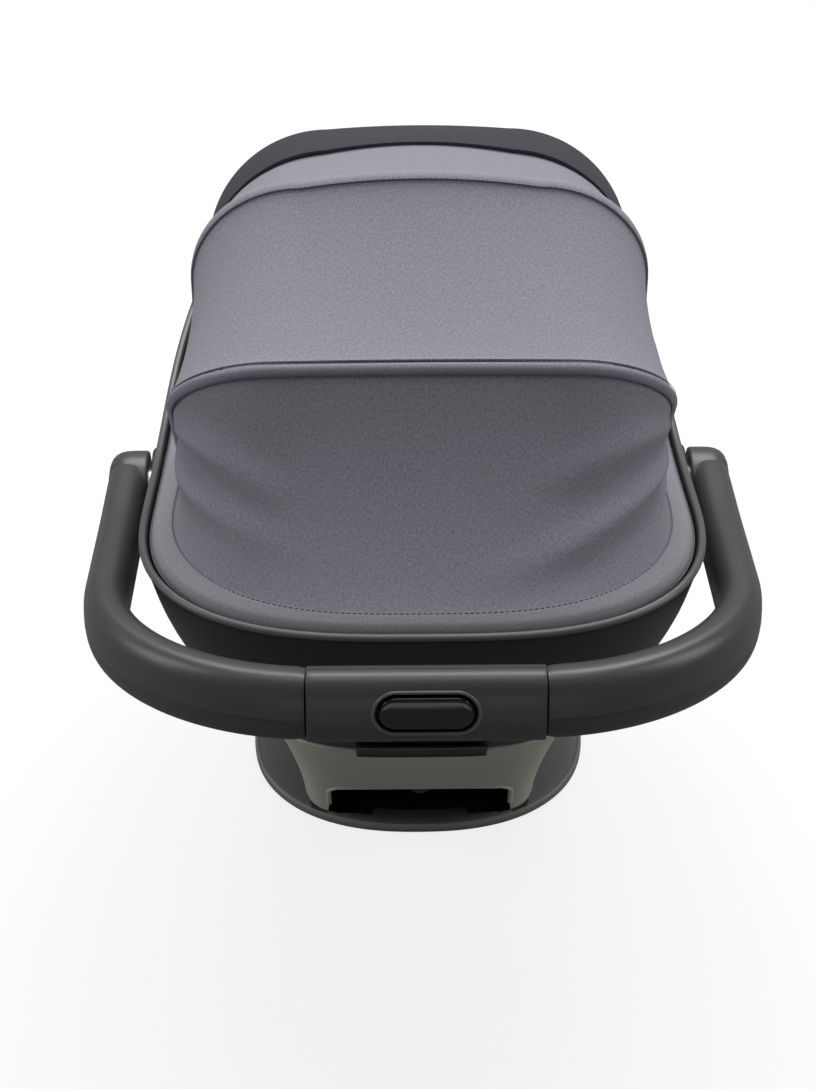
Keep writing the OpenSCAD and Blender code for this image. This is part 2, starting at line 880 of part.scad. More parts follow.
seat_shell();
rocker_base();
base_lock_bars();
base_screws();
label_plate();
release_lever();
lever_bracket();
lever_spring();
adaptor_socket_left();
adaptor_socket_right();
belt_guide_left();
belt_guide_right();
foam_liner();
seat_cover();
head_pad();
body_pad();
rim_trim();
shoulder_strap_left();
shoulder_strap_right();
lap_strap_left();
lap_strap_right();
crotch_strap();
shoulder_pad_left();
shoulder_pad_right();
buckle_body();
buckle_button();
buckle_tongues();
adjuster_strap();
adjuster_housing();
adjuster_button();
pivot_bolts();
canopy_mount_left();
canopy_mount_right();
hub_housing_left();
hub_housing_right();
hub_cap_left();
hub_cap_right();
lock_disc_left();
lock_disc_right();
lock_spring_left();
lock_spring_right();
handle_upper_left();
handle_upper_right();
handle_lower_left();
handle_lower_right();
grip_outer_cover();
grip_inner_cover();
button_bezel();
release_button();
button_slider();
button_spring();
release_cables();
canopy_rear_panel();
canopy_mid_panel();
canopy_front_panel();
visor_band();
rear_bow();
front_bow();
visor_bow();
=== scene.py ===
import math
import bpy
import bmesh
import numpy as np
from mathutils import Matrix, Vector


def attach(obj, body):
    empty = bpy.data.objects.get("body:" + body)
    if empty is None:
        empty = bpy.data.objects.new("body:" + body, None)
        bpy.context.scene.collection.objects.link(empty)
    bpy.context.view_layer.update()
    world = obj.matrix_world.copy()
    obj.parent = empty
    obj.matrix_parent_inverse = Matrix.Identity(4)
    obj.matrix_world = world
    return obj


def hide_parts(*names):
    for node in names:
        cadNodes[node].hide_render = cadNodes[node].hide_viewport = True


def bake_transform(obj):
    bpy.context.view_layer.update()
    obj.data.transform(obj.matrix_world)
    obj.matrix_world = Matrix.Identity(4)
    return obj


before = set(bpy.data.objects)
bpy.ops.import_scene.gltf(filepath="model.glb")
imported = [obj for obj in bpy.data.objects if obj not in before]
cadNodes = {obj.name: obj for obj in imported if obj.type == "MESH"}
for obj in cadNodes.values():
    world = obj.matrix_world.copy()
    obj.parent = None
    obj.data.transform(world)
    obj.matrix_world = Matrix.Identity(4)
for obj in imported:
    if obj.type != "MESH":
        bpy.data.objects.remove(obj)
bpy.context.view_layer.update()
print("frame loaded:", len(cadNodes), "nodes")

mm = 0.001
hingeHeight = 0.280
canopyAxis = np.array([0, 0.009, 0.276])

cameraView = {
    "elevation": 40.71,     # degrees above the horizon
    "turn": 0.874,          # degrees off the head end, towards +X
    "distance": 1.9504,     # from the handle's hinge
    "tilt": -1.175,
    "pan": -0.230,
    "roll": 0.14,
    "lens": 89.67,
}


def makeCamera():
    e = math.radians(cameraView["elevation"])
    t = math.radians(cameraView["turn"])
    away = Vector((math.sin(t) * math.cos(e), math.cos(t) * math.cos(e), math.sin(e)))
    ahead = -away
    right = ahead.cross(Vector((0, 0, 1))).normalized()
    up = right.cross(ahead)
    tilt = math.tan(math.radians(cameraView["tilt"]))
    pan = math.tan(math.radians(cameraView["pan"]))
    ahead = (ahead + up * tilt + right * pan).normalized()
    right = ahead.cross(up).normalized()
    up = right.cross(ahead)
    roll = math.radians(cameraView["roll"])
    sideways = right * math.cos(roll) + up * math.sin(roll)
    upward = up * math.cos(roll) - right * math.sin(roll)
    data = bpy.data.cameras.new("camera")
    data.lens = cameraView["lens"]
    data.sensor_width = 36
    camera = bpy.data.objects.new("camera", data)
    turn = Matrix((sideways, upward, -ahead)).transposed().to_4x4()
    camera.matrix_world = Matrix.Translation(Vector((0, 0,
            hingeHeight)) + away * cameraView["distance"]) @ turn
    bpy.context.scene.collection.objects.link(camera)
    bpy.context.scene.camera = camera


lights = {
    "key": {"at": (-0.15, -1.7, 2.3), "size": (2.4, 1.6), "power": 70},
    "top": {"at": (0.0, -0.1, 3.0), "size": (1.8, 1.2), "power": 10},
    "left": {"at": (2.3, 0.1, 1.5), "size": (1.0, 1.6), "power": 21},
    "right": {"at": (-2.3, 0.1, 1.5), "size": (1.0, 1.6), "power": 19},
    "low": {"at": (0.0, 2.6, 0.4), "size": (2.4, 0.5), "power": 3},
}


def makeLights():
    for name, facts in lights.items():
        data = bpy.data.lights.new(name + "Light", "AREA")
        data.shape = "RECTANGLE"
        data.size, data.size_y = facts["size"]
        data.energy = facts["power"]
        lamp = bpy.data.objects.new(name + "Light", data)
        place = Vector(facts["at"])
        lamp.location = place
        lamp.rotation_euler = (Vector((0, 0, 0.25)) - place).to_track_quat("-Z", "Y").to_euler()
        bpy.context.scene.collection.objects.link(lamp)
    world = bpy.data.worlds.new("studioAir")
    world.use_nodes = True
    air = world.node_tree.nodes["Background"]
    air.inputs["Color"].default_value = (0.93, 0.95, 1.0, 1)
    # the air looks white but throws little light
    tree = world.node_tree
    seen = tree.nodes.new("ShaderNodeLightPath").outputs["Is Camera Ray"]
    strength = put(tree, "ShaderNodeMath", [(0, seen), (1, 0.9), (2, 0.1)],
            operation="MULTIPLY_ADD").outputs[0]
    tree.links.new(strength, air.inputs["Strength"])
    bpy.context.scene.world = world
    bpy.context.scene.view_settings.view_transform = "Standard"


def newGroup(name, inputs, outputs):
    group = bpy.data.node_groups.new(name, "ShaderNodeTree")
    kinds = {"value": "NodeSocketFloat", "colour": "NodeSocketColor", "vector": "NodeSocketVector"}
    for label, kind, start in inputs:
        socket = group.interface.new_socket(name=label, in_out="INPUT", socket_type=kinds[kind])
        if start is not None:
            socket.default_value = start
    for label, kind in outputs:
        group.interface.new_socket(name=label, in_out="OUTPUT", socket_type=kinds[kind])
    source = group.nodes.new("NodeGroupInput")
    sink = group.nodes.new("NodeGroupOutput")
    return group, source, sink


def put(tree, kind, links=(), **values):
    # adds one node, sets its plain values and joins its inputs
    node = tree.nodes.new(kind)
    for key, value in values.items():
        setattr(node, key, value)
    for slot, what in links:
        if hasattr(what, "is_output"):
            tree.links.new(what, node.inputs[slot])
        else:
            node.inputs[slot].default_value = what
    return node


def mathNode(tree, what, a, b=0.0, clamp=False):
    return put(tree, "ShaderNodeMath", [(0, a), (1, b)], operation=what, use_clamp=clamp).outputs[0]


def noiseNode(tree, place, scale, detail=2.0, rough=0.5):
    links = [("Vector", place), ("Scale", scale), ("Detail", detail), ("Roughness", rough)]
    return put(tree, "ShaderNodeTexNoise", links).outputs["Fac"]


def stretched(tree, place, x, y, z):
    return put(tree, "ShaderNodeVectorMath", [(0, place), (1, (x, y, z))], operation="MULTIPLY").outputs[0]


def mixNode(tree, share, a, b):
    node = put(tree, "ShaderNodeMix", data_type="RGBA")
    for slot, what in ((0, share), (6, a), (7, b)):
        if hasattr(what, "is_output"):
            tree.links.new(what, node.inputs[slot])
        else:
            node.inputs[slot].default_value = what
    return node.outputs[2]


def makeGrainGroup():
    # moulded plastic: fine spark grain, slow patches and faint rub marks
    inputs = [("Place", "vector", None), ("Colour", "colour", None), ("Rubbed Colour", "colour", None),
              ("Grain Scale", "value", 900.0), ("Rubbing", "value", 0.3),
              ("Roughness Low", "value", 0.35), ("Roughness High", "value", 0.5)]
    group, source, sink = newGroup("mouldedGrain", inputs,
            [("Colour", "colour"), ("Roughness", "value"), ("Height", "value")])
    t = group
    place = source.outputs["Place"]
    grain = noiseNode(t, place, source.outputs["Grain Scale"], 3.0, 0.6)
    patches = noiseNode(t, place, 9.0, 4.0, 0.6)
    scuffs = noiseNode(t, stretched(t, place, 40, 260, 60), 1.0, 3.0, 0.7)
    mask = mathNode(t, "MULTIPLY", mathNode(t, "GREATER_THAN", scuffs, 0.66), 0.25)
    share = mathNode(t, "MULTIPLY", mathNode(t, "ADD", patches, mask), source.outputs["Rubbing"], True)
    speck = mathNode(t, "MULTIPLY", mathNode(t, "SUBTRACT", grain, 0.5), 0.25)
    colour = mixNode(t, mathNode(t, "ADD", share, speck, True), source.outputs["Colour"],
            source.outputs["Rubbed Colour"])
    spread = mathNode(t, "SUBTRACT", source.outputs["Roughness High"], source.outputs["Roughness Low"])
    rough = mathNode(t, "MULTIPLY_ADD", patches, spread)
    t.links.new(source.outputs["Roughness Low"], rough.node.inputs[2])
    t.links.new(colour, sink.inputs["Colour"])
    t.links.new(rough, sink.inputs["Roughness"])
    t.links.new(grain, sink.inputs["Height"])
    return group


def makeClothGroup():
    # melange cloth: light and dark threads crossing, slow shade changes and a plain weave
    inputs = [("Place", "vector", None), ("Light Thread", "colour", None), ("Dark Thread", "colour", None),
              ("Threads Per Metre", "value", 1100.0), ("Melange", "value", 0.55), ("Patches", "value", 0.12)]
    group, source, sink = newGroup("melangeCloth", inputs,
            [("Colour", "colour"), ("Roughness", "value"), ("Height", "value")])
    t = group
    place = source.outputs["Place"]
    threads = source.outputs["Threads Per Metre"]
    along = noiseNode(t, stretched(t, place, 0.22, 1, 0.6), threads, 2.0, 0.6)
    across = noiseNode(t, stretched(t, place, 1, 0.22, 0.6), threads, 2.0, 0.6)
    flecks = noiseNode(t, place, mathNode(t, "MULTIPLY", threads, 0.42), 3.0, 0.75)
    slow = noiseNode(t, place, 14.0, 3.0, 0.55)
    both = mathNode(t, "MULTIPLY", mathNode(t, "ADD", along, across), 0.5)
    mixed = mathNode(t, "ADD", mathNode(t, "MULTIPLY", both, 0.5), mathNode(t, "MULTIPLY", flecks, 0.5))
    swing = mathNode(t, "MULTIPLY", mathNode(t, "SUBTRACT", mixed, 0.5), 4.2)
    swing = mathNode(t, "MULTIPLY", swing, source.outputs["Melange"])
    drift = mathNode(t, "MULTIPLY", mathNode(t, "SUBTRACT", slow, 0.5), source.outputs["Patches"])
    share = mathNode(t, "ADD", mathNode(t, "ADD", swing, drift), 0.5, True)
    colour = mixNode(t, share, source.outputs["Dark Thread"], source.outputs["Light Thread"])
    t.links.new(colour, sink.inputs["Colour"])
    t.links.new(mathNode(t, "MULTIPLY_ADD", flecks, 0.14), sink.inputs["Roughness"])
    sink.inputs["Roughness"].links[0].from_node.inputs[2].default_value = 0.78
    t.links.new(mathNode(t, "ADD", both, mathNode(t, "MULTIPLY", flecks, 0.4)), sink.inputs["Height"])
    return group


def makeWebbingGroup():
    # narrow woven tape: ribs across it
    inputs = [("Place", "vector", None), ("Colour", "colour", None), ("Edge Colour", "colour", None),
              ("Width", "value", 0.025), ("Rib Pitch", "value", 0.0016)]
    group, source, sink = newGroup("wovenTape", inputs,
            [("Colour", "colour"), ("Roughness", "value"), ("Height", "value")])
    t = group
    parts = put(t, "ShaderNodeSeparateXYZ", [(0, source.outputs["Place"])])
    acrossTape = mathNode(t, "DIVIDE", parts.outputs[0], source.outputs["Width"])
    fold = mathNode(t, "PINGPONG", mathNode(t, "MULTIPLY", acrossTape, 6.0), 1.0)
    ribs = mathNode(t, "DIVIDE", parts.outputs[1], source.outputs["Rib Pitch"])
    chevron = mathNode(t, "SINE", mathNode(t, "MULTIPLY", mathNode(t, "ADD", ribs, fold), 6.283))
    height = mathNode(t, "MULTIPLY_ADD", chevron, 0.5)
    height.node.inputs[2].default_value = 0.5
    fuzz = noiseNode(t, source.outputs["Place"], 2400.0, 2.0, 0.6)
    share = mathNode(t, "MULTIPLY", mathNode(t, "ADD", height, fuzz), 0.5, True)
    t.links.new(mixNode(t, share, source.outputs["Colour"], source.outputs["Edge Colour"]),
            sink.inputs["Colour"])
    rough = mathNode(t, "MULTIPLY_ADD", fuzz, 0.2)
    rough.node.inputs[2].default_value = 0.6
    t.links.new(rough, sink.inputs["Roughness"])
    t.links.new(mathNode(t, "ADD", height, mathNode(t, "MULTIPLY", fuzz, 0.4)), sink.inputs["Height"])
    return group


grainGroup = makeGrainGroup()
clothGroup = makeClothGroup()
tapeGroup = makeWebbingGroup()


def newMaterial(name, group, coordinates, values, bump, plain):
    # one material: the group feeds colour, roughness and bump of the shader; plain values sit on the shader
    material = bpy.data.materials.new(name)
    material.use_nodes = True
    t = material.node_tree
    shader = t.nodes["Principled BSDF"]
    place = t.nodes.new("ShaderNodeTexCoord").outputs[coordinates]
    effect = put(t, "ShaderNodeGroup", node_tree=group)
    t.links.new(place, effect.inputs["Place"])
    for key, value in values.items():
        effect.inputs[key].default_value = value
    t.links.new(effect.outputs["Colour"], shader.inputs["Base Color"])
    t.links.new(effect.outputs["Roughness"], shader.inputs["Roughness"])
    relief = put(t, "ShaderNodeBump", [("Strength", bump[0]), ("Distance", bump[1]),
            ("Height", effect.outputs["Height"])])
    t.links.new(relief.outputs["Normal"], shader.inputs["Normal"])
    for key, value in plain.items():
        shader.inputs[key].default_value = value
    return material


def plastic(name, colour, rubbed, rough, grain=900.0, bump=0.12, rubbing=0.3, **plain):
    values = {"Colour": (*colour, 1), "Rubbed Colour": (*rubbed, 1), "Grain Scale": grain,
              "Rubbing": rubbing, "Roughness Low": rough[0], "Roughness High": rough[1]}
    plain = {key.replace("_", " "): value for key, value in plain.items()}
    return newMaterial(name, grainGroup, "Object", values, (bump, 0.0004), plain)


def cloth(name, light, dark, threads=1700.0, melange=0.75, coordinates="UV", patches=0.12, bump=0.35,
        sheen=0.12):
    values = {"Light Thread": (*light, 1), "Dark Thread": (*dark, 1), "Threads Per Metre": threads,
              "Melange": melange, "Patches": patches}
    plain = {"Sheen Weight": sheen, "Sheen Roughness": 0.5, "Specular IOR Level": 0.2}
    return newMaterial(name, clothGroup, coordinates, values, (bump, 0.0005), plain)


def tape(name, colour, edge, width):
    values = {"Colour": (*colour, 1), "Edge Colour": (*edge, 1), "Width": width}
    return newMaterial(name, tapeGroup, "UV", values, (0.5, 0.0005),
            {"Sheen Weight": 0.15, "Specular IOR Level": 0.3})


finishes = {
    "shell": plastic("shellPlastic", (0.020, 0.021, 0.019), (0.040, 0.041, 0.038), (0.42, 0.56)),
    # painted highlight: the rim lip is the dark shell's own edge, given a lighter colour for the light it
    # catches
    "litLip": plastic("shellLipPaintedHighlight", (0.11, 0.112, 0.108), (0.16, 0.16, 0.155), (0.34, 0.46)),
    "skirt": plastic("basePlastic", (0.60, 0.57, 0.50), (0.66, 0.63, 0.56), (0.42, 0.56)),
    # painted shade and light: the foot's top is coloured darker for the seat's shadow, and its rim is a
    # lighter copy of the same plastic for the lit edge
    "flange": plastic("footPlasticPaintedShade", (0.085, 0.085, 0.088), (0.13, 0.13, 0.13), (0.45, 0.6)),
    "flangeEdge": plastic("footRimPaintedLight", (0.21, 0.21, 0.195), (0.26, 0.26, 0.25), (0.45, 0.6)),
    "handle": plastic("handlePlastic", (0.070, 0.072, 0.075), (0.095, 0.098, 0.102), (0.30, 0.42)),
    # painted shade: the lower half of the bar is a darker copy of the handle plastic, standing for the shade
    # on its underside
    "handleLowShaded": plastic("handleLowerPaintedShade", (0.056, 0.058, 0.059), (0.075, 0.077, 0.078), (0.34, 0.46)),
    "bezel": plastic("bezelPlastic", (0.12, 0.123, 0.124), (0.16, 0.162, 0.164), (0.24, 0.34)),
    # painted shade: a near-black finish put on faces inside the skirt, on the flange inside the skirt and in
    # the button's well, standing for the shade in these recesses
    "gapShade": plastic("recessPaintedShade", (0.006, 0.006, 0.006), (0.010, 0.010, 0.010), (0.5, 0.7)),
    "gloss": plastic("buttonGloss", (0.008, 0.008, 0.007), (0.012, 0.012, 0.011), (0.12, 0.2), bump=0.02,
                     Coat_Weight=0.6),
    "small": plastic("smallPartPlastic", (0.035, 0.036, 0.037), (0.06, 0.06, 0.062), (0.35, 0.5)),
    "canopy": cloth("canopyCloth", (0.36, 0.36, 0.405), (0.17, 0.17, 0.20)),
    "frontCanopy": cloth("frontCanopyCloth", (0.33, 0.33, 0.375), (0.18, 0.18, 0.21), melange=0.4),
    "collar": cloth("collarCloth", (0.37, 0.372, 0.40), (0.20, 0.20, 0.22)),
    "visor": cloth("visorCloth", (0.062, 0.061, 0.074), (0.030, 0.029, 0.037), melange=0.4, sheen=0.05),
    "pad": cloth("padCloth", (0.30, 0.30, 0.325), (0.15, 0.15, 0.17), coordinates="Object", melange=0.5),
    "coverCloth": cloth("coverCloth", (0.22, 0.22, 0.24), (0.11, 0.11, 0.125), coordinates="Object",
            melange=0.45),
    # painted shade: the stitch thread is coloured dark to stand for the shade in the stitch holes
    "shadedThread": cloth("stitchThreadPaintedShade", (0.13, 0.13, 0.15), (0.06, 0.06, 0.07), threads=3000,
            coordinates="Object"),
    "paleThread": cloth("paleThread", (0.40, 0.40, 0.44), (0.25, 0.25, 0.28), threads=3000,
            coordinates="Object"),
    "webbing": tape("harnessWebbing", (0.020, 0.020, 0.022), (0.050, 0.050, 0.054), 0.025),
    "foam": cloth("linerFoam", (0.030, 0.030, 0.030), (0.012, 0.012, 0.012), threads=500,
            coordinates="Object"),
    "red": plastic("redPlastic", (0.42, 0.018, 0.014), (0.50, 0.035, 0.025), (0.26, 0.36)),
    "steel": plastic("steel", (0.50, 0.505, 0.515), (0.60, 0.60, 0.61), (0.24, 0.38), grain=1600.0,
            Metallic=1.0),
    "label": plastic("labelPlate", (0.020, 0.021, 0.014), (0.026, 0.027, 0.019), (0.4, 0.5), bump=0.04),
    "labelLine": plastic("labelBorder", (0.16, 0.165, 0.14), (0.20, 0.205, 0.18), (0.4, 0.5), bump=0.04),
    "floor": plastic("paleFloor", (0.20, 0.20, 0.202), (0.23, 0.23, 0.232), (0.75, 0.9), grain=60.0,
            bump=0.02,
                     Emission_Color=(1, 1, 1, 1)),
}
print("materials made:", len(finishes))


def finishMesh(name, verts, faces, material, uvs=None, sharp=38, recalc=True):
    # uvs holds one (u, v) pair for each corner of each face, in metres
    mesh = bpy.data.meshes.new(name)
    mesh.from_pydata([tuple(v) for v in verts], [], faces)
    if uvs is not None:
        layer = mesh.uv_layers.new(name="cloth")
        layer.data.foreach_set("uv", np.asarray(uvs, np.float32).ravel())
    if recalc:
        b = bmesh.new()
        b.from_mesh(mesh)
        bmesh.ops.recalc_face_normals(b, faces=b.faces)
        b.to_mesh(mesh)
        b.free()
    mesh.shade_smooth()
    mesh.set_sharp_from_angle(angle=math.radians(sharp))
    mesh.materials.append(material)
    made = bpy.data.objects.new(name, mesh)
    bpy.context.scene.collection.objects.link(made)
    return made


def loft(name, rows, material, wrap=True, capFirst=False, capLast=False, sharp=38):
    # skins a grid of points; rows go along the piece, and each row goes round it
    rows = np.asarray(rows, float)
    count, across = rows.shape[:2]
    closed = np.concatenate([rows, rows[:, :1]], 1) if wrap else rows
    u = np.concatenate([np.zeros((count, 1)), np.cumsum(np.linalg.norm(np.diff(closed, axis=1), axis=2),
            1)], 1)
    u = np.broadcast_to(u.mean(0), u.shape)
    step = np.linalg.norm(np.diff(rows, axis=0), axis=2).mean(1)
    v = np.concatenate([[0], np.cumsum(step)])
    faces, uvs = [], []
    for r in range(count - 1):
        for c in range(across if wrap else across - 1):
            a, b = r * across + c, r * across + (c + 1) % across
            faces.append((a, b, b + across, a + across))
            uvs += [(u[r, c], v[r]), (u[r, c + 1], v[r]), (u[r, c + 1], v[r + 1]), (u[r, c], v[r + 1])]
    for wanted, r in ((capFirst, 0), (capLast, count - 1)):
        if wanted:
            faces.append(tuple(range(r * across, (r + 1) * across)))
            uvs += [tuple(p[:2]) for p in rows[r]]
    return finishMesh(name, rows.reshape(-1, 3), faces, material, uvs, sharp)


def gridNormals(rows):
    along = np.gradient(rows, axis=0)
    across = np.gradient(rows, axis=1)
    n = np.cross(across, along)
    return n / np.maximum(np.linalg.norm(n, axis=2, keepdims=True), 1e-12)


def sheetMesh(name, rows, material, thick=0.0014, outward=None):
    # an open grid given a real thickness; outward is a point that the outer face looks away from
    rows = np.asarray(rows, float)
    normals = gridNormals(rows)
    if outward is not None:
        if ((rows - np.array(outward)) * normals).sum() < 0:
            normals = -normals
    count, across = rows.shape[:2]
    under = rows - normals * thick
    u = np.concatenate([np.zeros((count, 1)), np.cumsum(np.linalg.norm(np.diff(rows, axis=1), axis=2), 1)], 1)
    u = np.broadcast_to(u.mean(0) - u.mean(0)[-1] / 2, u.shape)
    v = np.concatenate([np.zeros((1, across)), np.cumsum(np.linalg.norm(np.diff(rows, axis=0), axis=2),
            0)], 0)
    v = np.broadcast_to(v.mean(1, keepdims=True), v.shape)
    total = count * across
    faces, uvs = [], []

    def corner(i):
        i %= total
        return (u[i // across, i % across], v[i // across, i % across])

    for r in range(count - 1):
        for c in range(across - 1):
            a = r * across + c
            front = (a, a + 1, a + 1 + across, a + across)
            back = tuple(total + i for i in front[::-1])
            for face in (front, back):
                faces.append(face)
                uvs += [corner(i) for i in face]
    edge = [c for c in range(across)] + [r * across + across - 1 for r in range(1, count)]
    edge += [(count - 1) * across + c for c in range(across - 2, -1, -1)]
    edge += [r * across for r in range(count - 2, 0, -1)]
    for a, b in zip(edge, edge[1:] + edge[:1]):
        face = (a, b, b + total, a + total)
        faces.append(face)
        uvs += [corner(i) for i in face]
    return finishMesh(name, np.concatenate([rows.reshape(-1, 3), under.reshape(-1, 3)]), faces, material,
            uvs, 50)


def resample(path, count):
    # points evenly spaced along a path
    path = np.asarray(path, float)
    length = np.concatenate([[0], np.cumsum(np.linalg.norm(np.diff(path, axis=0), axis=1))])
    at = np.linspace(0, length[-1], count)
    return np.stack([np.interp(at, length, path[:, k]) for k in range(3)], 1)


def pathLength(path):
    return float(np.linalg.norm(np.diff(np.asarray(path, float), axis=0), axis=1).sum())


def smoothPath(points, count):
    # Catmull-Rom curve through points, evenly resampled
    p = np.asarray(points, float)
    p = np.concatenate([[2 * p[0] - p[1]], p, [2 * p[-1] - p[-2]]])
    out = []
    for i in range(1, len(p) - 2):
        for t in np.linspace(0, 1, 16, endpoint=i == len(p) - 3):
            a, b, c, d = p[i - 1:i + 3]
            out.append(0.5 * (2 * b + (c - a) * t + (2 * a - 5 * b + 4 * c - d) * t ** 2
                              + (3 * b - a - 3 * c + d) * t ** 3))
    return resample(out, count)


def pathFrames(path, looks):
    # unit directions along a path, to its side, and up from it, where looks leans towards up
    way = np.gradient(path, axis=0)
    way /= np.linalg.norm(way, axis=1, keepdims=True)
    side = np.cross(way, looks)
    side /= np.linalg.norm(side, axis=1, keepdims=True)
    return way, side, np.cross(side, way)


def sweep(name, path, looks, section, material, cap=True, sharp=38):
    # carries a section given as (side, up) points along a path
    path = np.asarray(path, float)
    looks = np.broadcast_to(np.asarray(looks, float), path.shape)
    _, side, up = pathFrames(path, looks)
    section = np.asarray(section, float)
    if section.ndim == 2:
        section = np.broadcast_to(section, (len(path), *section.shape))
    rows = path[:, None] + side[:, None] * section[:, :, :1] + up[:, None] * section[:, :, 1:]
    return loft(name, rows, material, True, cap, cap, sharp)


def ovalSection(halfWidth, halfHeight, power=2.0, count=16):
    a = np.linspace(0, 2 * np.pi, count, endpoint=False)
    c, s = squircle(a, power)
    return np.stack([halfWidth * c, halfHeight * s], 1)


def stitches(name, path, looks, material, pitch=0.0034, length=0.0024, radius=0.00034):
    # one row of separate thread loops lying along a path
    path = resample(path, max(2, int(pathLength(path) / pitch)))
    looks = np.asarray(looks, float)
    if looks.ndim == 2:
        looks = looks[np.linspace(0, len(looks) - 1, len(path)).astype(int)]
    looks = np.broadcast_to(looks, path.shape)
    way, side, up = pathFrames(path, looks)
    verts, faces = [], []
    ringShape = [(-0.5, 0.35), (-0.3, 1), (0.3, 1), (0.5, 0.35)]
    for p, w, s, n in zip(path, way, side, up):
        base = len(verts)
        for at, size in ringShape:
            for k in range(6):
                a = math.pi * k / 3
                off = s * math.cos(a) + n * math.sin(a) * 0.8
                verts.append(p + w * at * length + off * radius * size)
        for r in range(3):
            for k in range(6):
                a, b = base + r * 6 + k, base + r * 6 + (k + 1) % 6
                faces.append((a, b, b + 6, a + 6))
        faces.append(tuple(base + k for k in range(6)))
        faces.append(tuple(base + 18 + k for k in range(6)))
    return finishMesh(name, verts, faces, material)


def squircle(angle, power):
    c, s = np.cos(angle), np.sin(angle)
    return np.sign(c) * np.abs(c) ** (2 / power), np.sign(s) * np.abs(s) ** (2 / power)


def smoothStep(x, low, high):
    t = np.clip((x - low) / (high - low), 0, 1)
    return t * t * (3 - 2 * t)


def mirrored(rows):
    return np.asarray(rows, float) * np.array([-1, 1, 1])


# share of the way up, height, half width, reach to the head, reach to the foot, middle, squareness
shellStations = np.array([
    [0.00, 88, 60, 60, 150, -25, 2.6],
    [0.15, 92, 92, 97, 205, -22, 2.9],
    [0.30, 108, 106, 113, 234, -14, 3.3],
    [0.44, 139, 117.5, 134.5, 256.5, -5, 3.7],
    [0.45, 140, 123, 140, 262, -4, 3.7],
    [0.60, 188, 146, 184, 280, 18, 3.8],
    [0.75, 236, 164, 226, 298, 45, 3.7],
    [0.90, 284, 177.5, 262, 316, 78, 3.5],
    [1.00, 316, 186, 278, 330, 96, 3.15],
])
rimShape = {"low": 296, "rise": 101, "blend": 80, "head": 278, "foot": 330, "footRise": 34, "mid": 316}


def smoothLookup(x, xs, ys):
    # cubic curve through the stations with limited slopes, so it never overshoots
    h = np.diff(xs)
    d = np.diff(ys) / h
    m = np.concatenate([[d[0]], (d[:-1] + d[1:]) / 2, [d[-1]]])
    flat = np.concatenate([[False], d[:-1] * d[1:] <= 0, [False]])
    m[flat] = 0
    i = np.clip(np.searchsorted(xs, x, side="right") - 1, 0, len(h) - 1)
    t = (x - xs[i]) / h[i]
    return ((2 * t ** 3 - 3 * t ** 2 + 1) * ys[i] + (t ** 3 - 2 * t ** 2 + t) * h[i] * m[i]
            + (3 * t ** 2 - 2 * t ** 3) * ys[i + 1] + (t ** 3 - t ** 2) * h[i] * m[i + 1])


def station(t, k):
    part = shellStations[:4] if t <= 0.445 else shellStations[4:]
    return float(smoothLookup(np.clip(t, part[0, 0], part[-1, 0]), part[:, 0], part[:, k]))


def rimHeight(y):
    # y and the answer in millimetres
    r = rimShape
    reach = r["head"] + math.hypot(r["head"], r["blend"])
    share = np.minimum(1, (y + np.sqrt(y * y + r["blend"] ** 2)) / reach)
    foot = r["footRise"] * (np.maximum(0, -y - 40) / 290) ** 1.6
    return r["low"] + r["rise"] * (1 - (1 - share) ** 1.5) + foot


def shellRing(t, angles, inset=0.0, lift=0.0):
    # points of the shell's side all round, in metres
    height, half, head, foot, mid, power = [station(t, k) for k in range(1, 7)]
    ex, ey = squircle(angles, power)
    topY = squircle(angles, 3.15)[1]
    reach = np.where(ey > 0, head - inset - mid, foot - inset + mid)
    rimY = np.where(topY > 0, 96 + (rimShape["head"] - 96) * topY, 96 + (rimShape["foot"] + 96) * topY)
    z = height + (rimHeight(rimY) - rimShape["mid"]) * t * t + inset * (1 - t) ** 1.5 + lift
    return np.stack([(half - inset) * ex, mid + reach * ey, z], 1) * mm


def evenAngles(count, power=3.15, start=0.0, end=360.0):
    # plan angles that put the rim's points at even distances
    fine = np.radians(np.linspace(start, end, 4000))
    x, y = squircle(fine, power)
    path = np.stack([186 * x, np.where(y > 0, 182, 426) * y], 1)
    length = np.concatenate([[0], np.cumsum(np.linalg.norm(np.diff(path, axis=0), axis=1))])
    closed = end - start >= 360
    at = np.linspace(0, length[-1], count + 1 if closed else count)
    out = np.interp(at, length, fine)
    return out[:-1] if closed else out


roundAngles = evenAngles(200)
shellLevels = [0, 0.04, 0.08, 0.12, 0.16, 0.2, 0.25, 0.3, 0.34, 0.38, 0.42, 0.44]
shellUpper = [0.45, 0.47, 0.5, 0.54, 0.58, 0.62, 0.66, 0.7, 0.74, 0.78, 0.82, 0.86, 0.9, 0.93, 0.96,
        0.985, 1.0]


